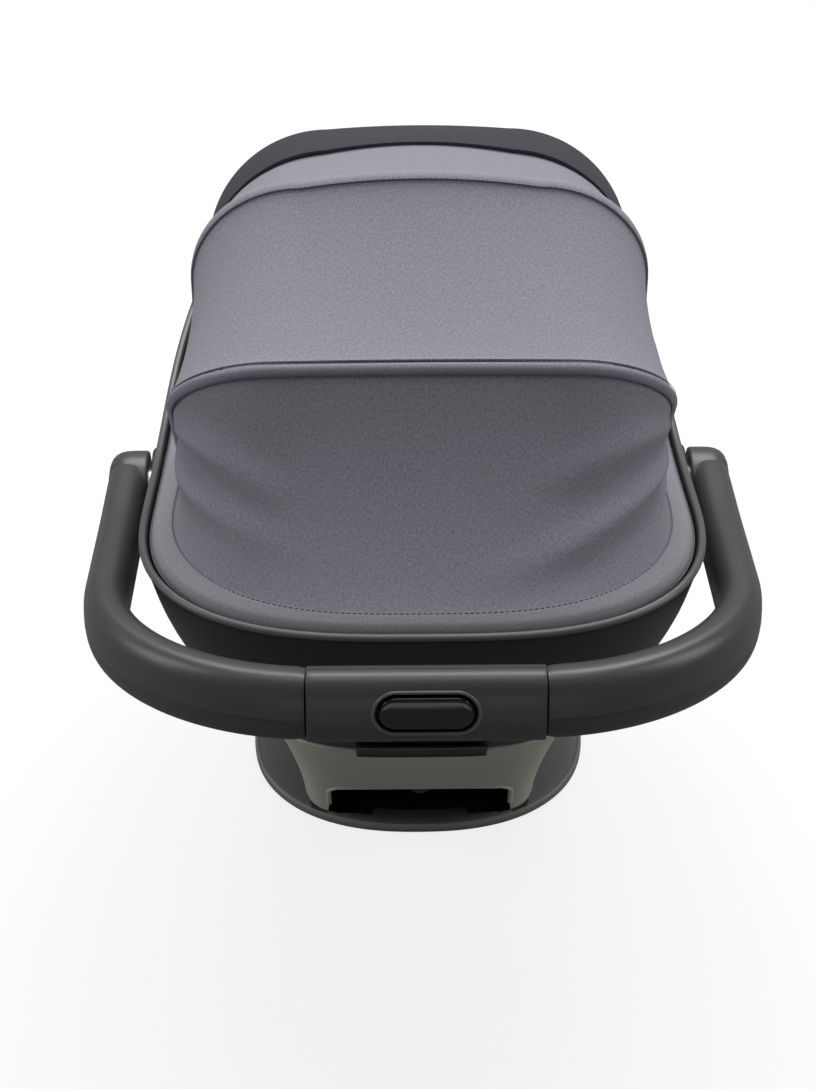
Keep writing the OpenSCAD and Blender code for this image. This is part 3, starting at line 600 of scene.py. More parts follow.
def makeShell():
    rows = [shellRing(t, roundAngles) for t in shellLevels + shellUpper]
    rows += [shellRing(1.0, roundAngles, inset, lift) for inset,
            lift in ((0.2, 0.8), (0.9, 1.3), (3.2, 1.3), (3.9, 0.7))]
    rows += [shellRing(t, roundAngles, 4.0) for t in reversed(shellLevels + shellUpper)]
    shell = loft("seatShellBody", rows, finishes["shell"], True, True, True)
    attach(shell, "shell")
    # rolled lip that runs round the rim, coloured lighter as a painted highlight on the shell's edge
    path = shellRing(1.0, roundAngles, 1.2, 1.4)
    section = np.array([(-2.6, -1.6), (-2.4, 0.2), (-1.6, 1.1), (0, 1.5), (1.4, 1.2), (2.1, 0.3),
            (2.0, -0.6)]) * mm
    way = np.roll(path, -1, axis=0) - np.roll(path, 1, axis=0)
    way /= np.linalg.norm(way, axis=1, keepdims=True)
    side = np.cross(way, np.array([0, 0, 1.0]))
    side /= np.linalg.norm(side, axis=1, keepdims=True)
    up = np.cross(side, way)
    ringRows = [path + side * -a + up * b for a, b in section]
    litLip = loft("shellRimLip", np.concatenate([ringRows, ringRows[:1]]), finishes["litLip"])
    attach(litLip, "shell")
    # bosses that carry the hinges
    sideT = np.linspace(0.5, 1, 60)
    sidePoints = np.array([shellRing(t, np.radians([-4.0]))[0] for t in sideT])
    for sign, word in ((1, "Left"), (-1, "Right")):
        a = np.linspace(0, 2 * np.pi, 72, endpoint=False)
        bossRows = []
        for along, radius in ((None, 32.5), (None, 31.2), (0.1875, 31), (0.1892, 30.6), (0.190, 29.6),
                (0.190, 19),
                              (0.1895, 18), (0.183, 17.8), (0.183, 5)):
            y, z = radius * mm * np.cos(a), hingeHeight + radius * mm * np.sin(a)
            onShell = np.interp(z, sidePoints[:, 2], sidePoints[:, 0])
            x = onShell - 0.002 if along is None else np.full_like(a, along)
            if radius == 31.2:
                x = onShell + 0.0012
            bossRows.append(np.stack([sign * x, y, z], 1))
        boss = loft("hingeBoss" + word, bossRows, finishes["shell"], True, True, True)
        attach(boss, "shell")
    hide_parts("seat_shell")
    return shell


baseShape = {"power": 2.35, "half": 129, "head": 79, "foot": 215, "mid": -25, "thick": 9}


def basePlan(inset, z, count=200, shape=baseShape):
    a = np.linspace(0, 2 * np.pi, count, endpoint=False)
    ex, ey = squircle(a, shape["power"])
    reach = np.where(ey > 0, shape["head"] - shape["mid"], shape["foot"] + shape["mid"]) - inset
    return np.stack([(shape["half"] - inset) * ex, shape["mid"] + reach * ey, np.full(count, z)], 1) * mm


def skirtRing(u, inset):
    # u runs from the foot of the skirt to the shell
    ex, ey = squircle(roundAngles, 6.5)
    low = np.stack([(90 - inset) * ex, -40 + np.where(ey > 0, 106 - inset, 135 - inset) * ey,
            np.full(len(ex), 7.5)], 1) * mm
    high = shellRing(0.45, roundAngles, inset)
    out = u ** 1.3
    ring = low * (1 - out) + high * out
    ring[:, 2] = low[:, 2] * (1 - u) + high[:, 2] * u
    return ring


def archOutline():
    pts = []
    for cx, cz, start in ((55, 39.5, 0), (-55, 39.5, 90)):
        pts += [(cx + 14 * math.cos(math.radians(a)),
                cz + 14 * math.sin(math.radians(a))) for a in range(start, start + 91, 9)]
    return [(70, 9.0)] + [(69, 20)] + pts + [(-69, 20)] + [(-70, 9.0)]


def cutAway(piece, cutter):
    change = piece.modifiers.new("cut", "BOOLEAN")
    change.object = cutter
    change.operation = "DIFFERENCE"
    change.solver = "EXACT"
    graph = bpy.context.evaluated_depsgraph_get()
    graph.update()
    mesh = bpy.data.meshes.new_from_object(piece.evaluated_get(graph))
    piece.modifiers.clear()
    old = piece.data
    piece.data = mesh
    bpy.data.meshes.remove(old)
    bpy.data.objects.remove(cutter)
    mesh.shade_smooth()
    mesh.set_sharp_from_angle(angle=math.radians(35))


def makeBase():
    us = np.concatenate([np.linspace(0, 0.9, 19), [0.93, 0.96, 0.975]])
    rows = [skirtRing(u, 0) for u in us]
    lipOut = [(0.985, -1.2), (0.993, -1.9), (1.0, -1.9), (1.006, -1.2), (1.008, 0), (1.004, 1.2)]
    rows += [skirtRing(min(u, 1.0), inset) + np.array([0, 0, (u - min(u, 1.0)) * 0.13]) for u,
            inset in lipOut]
    rows += [skirtRing(u, 3.6) for u in us[::-1]]
    rows.append(rows[0])
    skirt = loft("baseSkirt", rows, finishes["skirt"])
    outline = archOutline()
    near, far = 0.012, 0.17
    block = [[(x * mm, y, z * mm) for x, z in outline] for y in (near, far)]
    cutter = loft("archCut", block, finishes["skirt"], True, True, True)
    weld(skirt)
    cutAway(skirt, cutter)
    # painted shade: the skirt's inward faces take the near-black finish for the shade inside the base
    skirt.data.materials.append(finishes["gapShade"])
    for face in skirt.data.polygons:
        inward = face.normal.x * face.center.x + face.normal.y * (face.center.y + 0.04) < -0.01
        face.material_index = 1 if inward and face.center.z < 0.13 else 0
    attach(skirt, "shell")
    # rolled edge of the arched opening, laid on the skirt's outer face
    steps = np.linspace(0, 1, 24)
    outer = np.array([skirtRing(u, 0) for u in steps])
    edge = []
    for x, z in outline[1:-1]:
        best = None
        for ring in outer:
            back = ring[ring[:, 1] > 0.02]
            order = np.argsort(back[:, 0])
            y = np.interp(x * mm, back[order, 0], back[order, 1])
            h = np.interp(x * mm, back[order, 0], back[order, 2])
            best = (best or []) + [(h, y)]
        best = np.array(best)
        edge.append((x * mm, np.interp(z * mm, best[:, 0], best[:, 1]) - 0.0012, z * mm))
    path = smoothPath(edge, 90)
    bead = sweep("archEdge", path, (0, 1, -0.3), ovalSection(1.9 * mm, 2.1 * mm), finishes["skirt"])
    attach(bead, "shell")
    # foot that the seat stands and rocks on; its darker top is painted shade from the seat above
    top = [basePlan(i, z) for i, z in ((2.0, 7.9), (2.8, 8.6), (4.2, 9.0), (9, 9.0), (16, 9.2), (30, 9.0),
            (52, 9.0))]
    foot = loft("baseFoot", top + [basePlan(52, 5.0), basePlan(2.0, 5.0), top[0]], finishes["flange"])
    rim = [basePlan(i, z) for i, z in ((3.0, 0.0), (0.9, 0.5), (0.1, 1.8), (0.0, 4.0), (0.3, 6.2),
            (1.2, 7.6), (2.4, 8.1),
                                       (3.0, 7.6), (3.0, 4.4), (48, 4.4), (48, 0.6), (44, 0.0), (3.0, 0.0))]
    # the foot's rim is coloured lighter than its top: painted light on the edge
    edgeRing = loft("baseFootRim", rim, finishes["flangeEdge"])
    # painted shade: where the flange lies inside the skirt it takes the near-black finish, standing for the
    # shade under the seat
    foot.data.materials.append(finishes["gapShade"])
    for face in foot.data.polygons:
        c = face.center
        face.material_index = 1 if abs(c.x) < 0.084 and c.y < 0.064 else 0
    for piece in (foot, edgeRing):
        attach(piece, "shell")
    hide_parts("rocker_base")
    # pull tab of the base release, its lower edge showing under the arch
    a = np.linspace(0, math.pi, 25)
    shape = [(-0.021, 0.058), (-0.021, 0.0525)]
    shape += [(-0.021 * math.cos(t), 0.0525 - 0.006 * math.sin(t) ** 1.5) for t in a[1:-1]]
    shape += [(0.021, 0.0525), (0.021, 0.058)]
    tabRows = []
    for y, grow in ((0.0655, -0.0008), (0.0662, 0), (0.0705, 0), (0.0716, -0.0006), (0.0722, -0.0016)):
        tabRows.append([(x * (1 + grow * 30), y, z - grow) for x, z in shape])
    tab = loft("releaseTab", tabRows, finishes["skirt"], True, True, True)
    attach(tab, "base_release")


def weld(piece, distance=1e-6):
    b = bmesh.new()
    b.from_mesh(piece.data)
    bmesh.ops.remove_doubles(b, verts=b.verts, dist=distance)
    bmesh.ops.recalc_face_normals(b, faces=b.faces)
    b.to_mesh(piece.data)
    b.free()


handleShape = {"rest": 17.0, "reach": 325, "half": 207.5, "bend": 142, "thick": 14.5, "tall": 23.5,
        "power": 2.7,
               "partLine": -4.7, "seam": 73.5, "button": 59}


def onHandle(points):
    a = math.radians(handleShape["rest"])
    p = np.asarray(points, float)
    y = p[..., 1] * math.cos(a) - p[..., 2] * math.sin(a)
    z = p[..., 1] * math.sin(a) + p[..., 2] * math.cos(a) + hingeHeight
    return np.stack([p[..., 0], y, z], -1)


def armStations(start=14.0):
    # centre and outward direction
    h = handleShape
    turn = math.acos((h["seam"] - h["half"] + h["bend"]) / h["bend"])
    straight = h["reach"] - h["bend"]
    out = []
    for y in np.linspace(start, straight, 22):
        out.append((h["half"], y, 1.0, 0.0))
    for a in np.linspace(0, turn, 44)[1:]:
        out.append((h["half"] - h["bend"] + h["bend"] * math.cos(a), straight + h["bend"] * math.sin(a),
                math.cos(a), math.sin(a)))
    return np.array(out)


def halfOutline(upper, inset, tall, count=60):
    # part of the bar's outline above or below the parting line, with small rounded edges there
    line = handleShape["partLine"] * (tall / 23.5)
    thick = handleShape["thick"] - inset
    top = tall - inset
    fine = np.linspace(0, 2 * np.pi, 4000)
    c, s = squircle(fine, handleShape["power"])
    pts = np.stack([thick * c, top * s], 1)
    keep = pts[:, 1] >= line + 0.25 if upper else pts[:, 1] <= line - 0.25
    first = int(np.argmin(np.where(keep & ~np.roll(keep, 1), 0, 1)))
    pts = np.roll(pts, -first, axis=0)[: keep.sum()]
    length = np.concatenate([[0], np.cumsum(np.linalg.norm(np.diff(pts, axis=0), axis=1))])
    at = np.linspace(0, length[-1], count)
    arc = np.stack([np.interp(at, length, pts[:, k]) for k in range(2)], 1)
    back = np.array([[arc[-1, 0] * 0.93, line + (0.05 if upper else -0.05)],
            [arc[0, 0] * 0.93, line + (0.05 if upper else -0.05)]])
    return np.concatenate([arc, back])


def makeHandle():
    path = armStations()
    for sign, word in ((1, "Left"), (-1, "Right")):
        for upper in (True, False):
            rows = []
            for i, (x, y, ox, oy) in enumerate(path):
                tall = 23.5 + 3.6 * (1 - float(smoothStep(y, 14, 95)))
                sink = 0.0 if upper else 0.12 + 0.75 * float(smoothStep(y, 190, 290))
                last = len(path) - 1 - i
                close = {0: 1.1, 1: 0.15}.get(last, 0.0)
                section = halfOutline(upper, sink + close, tall)
                rows.append(onHandle([((x + ox * n) * mm * sign, (y + oy * n) * mm, z * mm) for n,
                        z in section]))
            name = ("armUpper" if upper else "armLower") + word
            # lower halves take the darker copy of the handle plastic: painted shade on the underside
            arm = loft(name, rows, finishes["handle" if upper else "handleLowShaded"], True, True, True, 32)
            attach(arm, "handle")
            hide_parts(("handle_upper_" if upper else "handle_lower_") + word.lower())
        makeHub(sign, word)
    makeGrip()


def makeHub(sign, word):
    profile = [(193.2, 26.0), (193.4, 28.2), (194.6, 29.0), (204, 29.0), (209, 28.7), (213, 27.8),
            (216.4, 26.0),
               (219.0, 23.2), (220.8, 19.2), (221.7, 14.0), (222.0, 8), (222.0, 2)]
    a = np.linspace(0, 2 * np.pi, 96, endpoint=False)
    rows = [onHandle(np.stack([np.full(96, sign * x * mm), r * mm * np.cos(a), r * mm * np.sin(a)],
            1)) for x, r in profile]
    hub = loft("handleHub" + word, rows, finishes["handle"], True, True, True, 25)
    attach(hub, "handle")
    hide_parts("hub_housing_" + word.lower(), "hub_cap_" + word.lower())


def stadiumPoints(length, width, count=96):
    # (across, up) points round a stadium
    r = width / 2
    flat = length - width
    pts = []
    half = count // 2
    for k in range(half):
        a = -math.pi / 2 + math.pi * k / (half - 1)
        pts.append((flat / 2 + r * math.cos(a), r * math.sin(a)))
    for k in range(half):
        a = math.pi / 2 + math.pi * k / (half - 1)
        pts.append((-flat / 2 + r * math.cos(a), r * math.sin(a)))
    return np.array(pts)


def gripFace(z):
    # how far the grip's outward face stands from the bar's middle at height z
    h = handleShape
    share = np.clip(np.abs(z) / h["tall"], 0, 1) ** h["power"]
    return h["thick"] * (1 - share) ** (1 / h["power"])


def makeGrip():
    h = handleShape
    xs = np.concatenate([[-h["seam"] + 0.35, -h["seam"] + 0.6, -h["seam"] + 1.4],
            np.linspace(-h["seam"] + 6, h["seam"] - 6, 40),
                         [h["seam"] - 1.4, h["seam"] - 0.6, h["seam"] - 0.35]])
    closeBy = {0: 1.2, 1: 0.35, 2: 0.0, len(xs) - 3: 0.0, len(xs) - 2: 0.35, len(xs) - 1: 1.2}
    for outer in (True, False):
        rows = []
        for i, x in enumerate(xs):
            inset = closeBy.get(i, 0.0) - 0.25
            fine = np.linspace(-np.pi / 2, np.pi / 2, 61) if outer else np.linspace(np.pi / 2,
                    1.5 * np.pi, 61)
            c, s = squircle(fine, h["power"])
            n = (h["thick"] - inset) * c
            z = (h["tall"] - inset) * s
            edge = 0.3 if outer else -0.3
            n = np.where(np.abs(n) < 0.3, edge, n)
            rows.append(onHandle(np.stack([np.full(61, x), h["reach"] + n, z], 1) * mm))
        name = "gripOuter" if outer else "gripInner"
        cover = loft(name, rows, finishes["handle"], True, True, True, 32)
        if outer:
            hole = stadiumPoints(h["button"] + 8.0, 30.0)
            block = [onHandle(np.stack([hole[:, 0], np.full(len(hole), d), hole[:, 1]],
                    1) * mm) for d in (h["reach"] + 6.5, h["reach"] + 22)]
            cutter = loft("buttonCut", block, finishes["gapShade"], True, True, True)
            weld(cover)
            cutAway(cover, cutter)
        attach(cover, "handle")
        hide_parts("grip_outer_cover" if outer else "grip_inner_cover")

    def ringRows(levels):
        out = []
        for length, width, depth, follow in levels:
            pts = stadiumPoints(length, width)
            d = depth + (gripFace(pts[:, 1]) if follow else np.zeros(len(pts)))
            out.append(onHandle(np.stack([pts[:, 0], h["reach"] + d, pts[:, 1]], 1) * mm))
        return out

    b = h["button"]
    bezel = ringRows([(b + 7.6, 29.6, -3.0, True), (b + 8.6, 30.6, 0.2, True), (b + 8.2, 30.2, 0.9, True),
            (b + 6.9, 28.9, 1.25, True),
                      (b + 5.3, 27.3, 1.0, True), (b + 4.2, 26.2, 0.2, True), (b + 3.4, 25.6, -1.6, True),
                              (b + 3.2, 25.4, -5.0, True)])
    ring = loft("buttonBezel", bezel + bezel[:1], finishes["bezel"], sharp=60)
    well = ringRows([(6, 3, 7.2, False), (b + 4.1, 26.3, 7.2, False), (b + 4.1, 26.3, -1.0, True),
                     (b + 3.3, 25.5, -1.0, True), (b + 3.3, 25.5, 8.0, False), (6, 3, 8.0, False)])
    # the well round the button is near-black: painted shade in the recess
    recess = loft("buttonWell", well, finishes["gapShade"], True, True, True)
    cap = ringRows([(b - 0.4, 22.0, 8.4, False), (b - 0.2, 22.2, -1.2, True), (b - 0.8, 21.6, 0.0, True),
            (b - 2.4, 20.0, 0.75, True),
                    (b - 4.6, 17.8, 0.95, True), (b - 10, 12.4, 0.85, True), (b - 16, 6.4, 0.9, True),
                            (b - 21.4, 1.0, 0.9, True)])
    button = loft("handleButton", cap, finishes["gloss"], True, True, True, 60)
    for piece in (ring, recess):
        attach(piece, "handle")
    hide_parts("button_bezel")
    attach(button, "handle_button")
    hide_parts("release_button")


canopyBows = {
    "rear": {"angle": 58.7, "reach": 276, "half": 162.5, "corner": 71, "crown": 2},
    "front": {"angle": 92, "reach": 274.6, "half": 152, "corner": 74, "crown": 7},
    "visorBack": {"angle": 107.5, "reach": 266, "half": 143, "corner": 80, "crown": 4},
    "visorFront": {"angle": 113.5, "reach": 269.5, "half": 144.5, "corner": 83, "crown": 2.5},
}


def bowLine(bow, start=50.0, out=0.0, turn=0.0, count=241):
    # rounded U of one bow, from the left foot over the top to the right foot
    reach, half, corner = bow["reach"] + out, bow["half"] + out, bow["corner"] + out * 0.5
    crown = bow["crown"]
    a = math.radians(bow["angle"] + turn)
    c = np.linspace(0, np.pi / 2, 48)
    legR = np.linspace(start, reach - crown - corner, 60)[:-1]
    side = [(half, r) for r in legR]
    side += list(zip(half - corner + corner * np.cos(c), reach - crown - corner + corner * np.sin(c)))
    flat = np.linspace(half - corner, 0, 40)[1:]
    side += [(x, reach - crown * (x / (half - corner)) ** 2) for x in flat]
    side = np.array(side)
    line = np.concatenate([side, (side * [-1, 1])[-2::-1]])
    points = np.stack([line[:, 0], line[:, 1] * math.cos(a), line[:, 1] * math.sin(a)], 1) * mm + canopyAxis
    return resample(points, count)


def seamInset(angles):
    # the collar is narrower across the head end than down the sides
    return 22.0 - 8.0 * np.clip(np.sin(angles), 0, 1) ** 3


def seamLine(count=241, start=-2.2, lift=9.5, extra=0.0):
    angles = evenAngles(600, 3.15, start, 180 - start)
    inset = seamInset(angles) + extra
    points = np.array([shellRing(1.0, np.array([a]), i, lift)[0] for a, i in zip(angles, inset)])
    return resample(points, count)


folds = [
    # start, middle and end as (share across, share up), depth in mm, half width in mm
    ((0.15, 0.86), (0.19, 0.52), (0.31, 0.30), 5.2, 10),
    ((0.18, 0.97), (0.24, 0.70), (0.37, 0.42), 5.6, 12),
    ((0.14, 0.62), (0.22, 0.34), (0.40, 0.22), 3.0, 12),
    ((0.86, 0.95), (0.80, 0.38), (0.54, 0.12), 6.4, 12),
    ((0.84, 0.98), (0.74, 0.66), (0.60, 0.52), 4.4, 13),
    ((0.90, 0.66), (0.86, 0.40), (0.72, 0.18), 3.2, 10),
]


def foldDepth(shareAcross, shareUp, width, height):
    # how far the folds stand out at each place of a panel, in metres
    total = np.zeros_like(shareAcross)
    for start, middle, end, depth, spread in folds:
        t = np.linspace(0, 1, 40)[:, None]
        line = (1 - t) ** 2 * np.array(start) + 2 * t * (1 - t) * np.array(middle) + t ** 2 * np.array(end)
        px, py = line[:, 0] * width, line[:, 1] * height
        gx, gy = shareAcross * width, shareUp * height
        d = np.hypot(gx[..., None] - px, gy[..., None] - py)
        k = d.argmin(-1)
        near = d.min(-1)
        taper = np.sin(np.pi * (0.03 + 0.94 * k / 39)) ** 1.3
        ridge = np.exp(-(near / (spread * mm)) ** 2)
        side = (gy - py[k]) * (px[-1] - px[0]) - (gx - px[k]) * (py[-1] - py[0])
        side = 0.5 + 0.5 * np.tanh(side / math.hypot(px[-1] - px[0], py[-1] - py[0]) / 0.006)
        valley = np.exp(-((near - 1.9 * spread * mm) / (1.1 * spread * mm)) ** 2) * side
        total += depth * mm * taper * (ridge - 0.55 * valley)
    return total


def panelRows(lower, upper, rowsUp, sag, sagPower=1.0, legSag=0.3):
    # cloth pulled between two lines: it dips inward between them, most across the top
    f = np.linspace(0, 1, rowsUp)[:, None, None]
    rows = lower[None] * (1 - f) + upper[None] * f
    normals = gridNormals(rows)
    if ((rows - canopyAxis) * normals).sum() < 0:
        normals = -normals
    across = np.linspace(0, 1, lower.shape[0])
    share = legSag + (1 - legSag) * np.sin(np.pi * across) ** 2
    dip = sag * mm * (4 * f[:, :, 0] * (1 - f[:, :, 0])) ** sagPower * share[None]
    return rows - normals * dip[..., None], normals


def makeCanopy():
    columns = 241
    rear, front = canopyBows["rear"], canopyBows["front"]
    # rear panel, sewn to the collar and pulled into soft folds
    seam = seamLine(columns)
    lowerEdge = seam - np.array([0, 0, 0.0006])
    upperEdge = bowLine(rear, 71.0, -1.2, -0.6, columns)
    rows, normals = panelRows(lowerEdge, upperEdge, 90, 9.0, 0.9)
    up = np.linspace(0, 1, 90)[:, None] * np.ones((1, columns))
    across = np.ones((90, 1)) * np.linspace(0, 1, columns)[None]
    fadeEdge = np.clip(4 * up * (1 - up), 0, 1) ** 0.6
    rows = rows + normals * (foldDepth(across, up, 0.66, 0.15) * fadeEdge)[..., None]
    rearPanel = sheetMesh("canopyRearCloth", rows, finishes["canopy"], outward=canopyAxis)
    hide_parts("canopy_rear_panel")
    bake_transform(rearPanel)
    # middle panel between the two bows, dipping between them
    lowerEdge = bowLine(rear, 46, 0, 0.9, columns)
    upperEdge = bowLine(front, 46, 0, -0.6, columns)
    rows, normals = panelRows(lowerEdge, upperEdge, 80, 8.5, 0.85)
    midPanel = sheetMesh("canopyMiddleCloth", rows, finishes["canopy"], outward=canopyAxis)
    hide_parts("canopy_mid_panel")
    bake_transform(midPanel)
    # front panel that comes out from under the hem
    lowerEdge = bowLine(front, 52, -3.0, 0.2, columns)
    upperEdge = bowLine(canopyBows["visorBack"], 52, 0, 0, columns)
    rows, normals = panelRows(lowerEdge, upperEdge, 40, 2.0)
    frontPanel = sheetMesh("canopyFrontCloth", rows, finishes["frontCanopy"], outward=canopyAxis)
    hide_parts("canopy_front_panel")
    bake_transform(frontPanel)
    # visor band, wider at its corners than over the top
    wide = widerBow(canopyBows["visorBack"])
    lowerEdge = wide
    upperEdge = bowLine(canopyBows["visorFront"], 52, 1.0, 0, columns)
    rows, normals = panelRows(lowerEdge, upperEdge, 24, -1.2)
    visor = sheetMesh("visorBandCloth", rows, finishes["visor"], 0.0022, outward=canopyAxis)
    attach(visor, "visor")
    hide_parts("visor_band")
    makeWelts()
    makeBows()


def widerBow(back):
    # back edge of the visor band: it dips further back at the two corners
    columns = 241
    line = bowLine(back, 52, 1.5, 0, columns)
    across = np.linspace(0, 1, columns)
    corner = np.exp(-((across - 0.28) / 0.15) ** 2) + np.exp(-((across - 0.72) / 0.15) ** 2)
    turn = np.radians(-0.6 - 3.8 * np.clip(corner, 0, 1))
    p = line - canopyAxis
    y = p[:, 1] * np.cos(turn) - p[:, 2] * np.sin(turn)
    z = p[:, 1] * np.sin(turn) + p[:, 2] * np.cos(turn)
    return np.stack([p[:, 0], y, z], 1) + canopyAxis


def radialLooks(path):
    looks = path - canopyAxis
    looks[:, 0] *= 0.6
    return looks / np.linalg.norm(looks, axis=1, keepdims=True)


def makeWelts():
    rear, front = canopyBows["rear"], canopyBows["front"]
    # rolled welt along the rear bow
    path = bowLine(rear, 52, -0.6, -0.35, 320)
    section = np.array([(-3.6, -1.2), (-3.9, 0.6), (-3.0, 2.1), (-1.4, 2.9), (0.6, 2.8), (2.2, 1.9),
            (3.4, 0.7), (3.8, -0.4), (2.5, -1.4)]) * mm
    welt = sweep("rearBowWelt", path, radialLooks(path), section, finishes["canopy"])
    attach(welt, "rear_hoop")
    line = bowLine(rear, 60, 1.4, 0.62, 400)
    # dark stitches: painted shade of the stitch holes
    row = stitches("rearWeltStitches", line, radialLooks(line), finishes["shadedThread"])
    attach(row, "rear_hoop")
    # flat stitched hem along the front bow
    path = bowLine(front, 52, 0.2, -0.25, 320)
    section = np.array([(-4.4, -0.8), (-4.6, 0.3), (-3.8, 1.0), (0, 1.3), (3.2, 1.0), (4.2, 0.3),
            (4.0, -0.8)]) * mm
    hem = sweep("frontBowHem", path, radialLooks(path), section, finishes["canopy"])
    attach(hem, "front_hoop")
    line = bowLine(front, 60, 1.0, -1.35, 400)
    row = stitches("frontHemStitches", line, radialLooks(line), finishes["paleThread"])
    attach(row, "front_hoop")


def makeBows():
    for name, node, body, bow in (("rearBow", "rear_bow", "rear_hoop", "rear"),
            ("frontBow", "front_bow", "front_hoop", "front"),
                                  ("visorBow", "visor_bow", "visor", "visorFront")):
        path = bowLine(canopyBows[bow], 0, -5.0, -0.8 if bow == "visorFront" else 0, 200)
        made = sweep(name, path, radialLooks(path + np.array([0, 1e-5, 1e-5])),
                ovalSection(4.2 * mm, 1.6 * mm, 3.0), finishes["small"])
        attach(made, body)
        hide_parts(node)


collarShape = {"start": -8.0, "stitchPitch": 3.4}


def makeCollar():
    angles = evenAngles(321, 3.15, collarShape["start"], 180 - collarShape["start"])
    head = np.clip(np.sin(angles), 0, 1) ** 3      # 1 at the head end, 0 down the sides
    seam = seamInset(angles)
    levels = []
    outer = 7.4 - 3.8 * head
    profile = [(0.0, -6.0), (-0.3, -3.0), (-0.1, -0.5), (0.5, 2.0), (1.7, 4.4), (3.6, 6.6), (0.45, 8.4),
            (0.72, 9.3), (0.93, 9.6), (1.0, 9.0), (1.05, 9.4), (1.14, 9.1)]
    for i, (step, lift) in enumerate(profile):
        inset = outer + step if i < 6 else outer + 3.6 + (seam - outer - 3.6) * step
        levels.append([shellRing(1.0, np.array([a]), d, lift)[0] for a, d in zip(angles, inset)])
    coarse = np.array(levels)
    rows = np.array([smoothPath(coarse[:, k], 34) for k in range(coarse.shape[1])]).transpose(1, 0, 2)
    collar = sheetMesh("rimCollar", rows, finishes["collar"], 0.0016, outward=(0, 0.1, 0.2))
    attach(collar, "shell")
    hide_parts("rim_trim")
    line = seamLine(700, -7.0, 9.75, -1.0)
    # dark stitches: painted shade of the stitch holes
    row = stitches("collarStitches", line, (0, 0.35, 1), finishes["shadedThread"], pitch=0.0036, length=0.0026)
    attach(row, "shell")


def makeLabel():
    xs = np.linspace(-46, 46, 40) * mm

    def plateRow(t, x):
        ring = shellRing(t, roundAngles)
        back = ring[ring[:, 1] > 0]
        order = np.argsort(back[:, 0])
        return np.array([x, np.interp(x, back[order, 0], back[order, 1]),
                np.interp(x, back[order, 0], back[order, 2])])

    seam = np.array([plateRow(0.45, x) for x in xs])
    above = np.array([plateRow(0.525, x) for x in xs])
    below = seam + np.array([0, -0.8, -2.6]) * mm
    away = np.array([0, 0.86, -0.51])
    mid = [below, seam, above]
    plate = np.array([m + away * 0.0042 for m in mid])
    body = sheetMesh("labelPlate", plate, finishes["label"], 0.0014, outward=(0, 0, 0.2))
    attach(body, "shell")
    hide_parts("label_plate")
    lift = away * 0.0044
    loop = np.concatenate([below, [seam[-1]], above[::-1], [seam[0]], below[:2]]) + lift
    path = resample(loop, 200)
    border = sweep("labelBorder", path, away, ovalSection(0.55 * mm, 0.35 * mm, 2, 8), finishes["labelLine"])
    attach(border, "shell")


def makeCover():
    # bucket-shaped cover: outer side against the liner, inner side soft, rolled edge at the rim
    outer = [(0.0, 24), (0.15, 24), (0.3, 24), (0.45, 24), (0.6, 24), (0.75, 24), (0.82, 23), (0.88, 12),
            (0.94, 7), (0.985, 5.5)]
    inner = [(0.985, 11.5), (0.95, 13), (0.9, 16.5), (0.86, 26), (0.8, 37), (0.7, 38), (0.6, 38),
            (0.5, 38), (0.4, 37.5), (0.3, 37), (0.2, 36), (0.1, 36), (0.0, 36)]
    rows = [shellRing(t, roundAngles, d) for t, d in outer]
    rows += [shellRing(1.0, roundAngles, d, lift) for d,
            lift in ((5.6, -1.0), (6.6, 1.6), (8.6, 2.6), (10.6, 1.2))]
    rows += [shellRing(t, roundAngles, d) for t, d in inner]
    rows = np.array(rows)
    fine = np.array([smoothPath(rows[:, k], 90) for k in range(rows.shape[1])]).transpose(1, 0, 2)
    # soft quilted channels on the inner side
    inside = np.arange(90)[:, None] / 89
    angle = np.arctan2(fine[..., 1] - 0.02, fine[..., 0])
    wave = np.abs(np.sin(angle * 7)) ** 0.35 * smoothStep(inside, 0.55,
            0.62) * (1 - smoothStep(inside, 0.9, 0.97))
    centre = np.array([0, 0.02, 0.30])
    toward = centre - fine
    toward /= np.linalg.norm(toward, axis=2, keepdims=True)
    fine = fine + toward * (wave * 0.0035)[..., None]
    cover = loft("seatCoverPad", fine, finishes["coverCloth"], True, True, True, 60)
    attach(cover, "shell")
    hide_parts("seat_cover")
    liner = [shellRing(t, roundAngles, 11) for t in (0.0, 0.2, 0.4, 0.45, 0.6, 0.78)]
    liner += [shellRing(t, roundAngles, 23) for t in (0.78, 0.6, 0.45, 0.4, 0.2, 0.0)]
    foam = loft("foamLinerShell", liner, finishes["foam"], True, True, True)
    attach(foam, "shell")
    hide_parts("foam_liner")
    path = shellRing(1.0, roundAngles, 12.2, -1.5)
    row = stitches("coverHemStitches", np.concatenate([path, path[:1]]), (0, 0, 1),
            finishes["paleThread"], pitch=0.004, length=0.0028)
    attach(row, "shell")


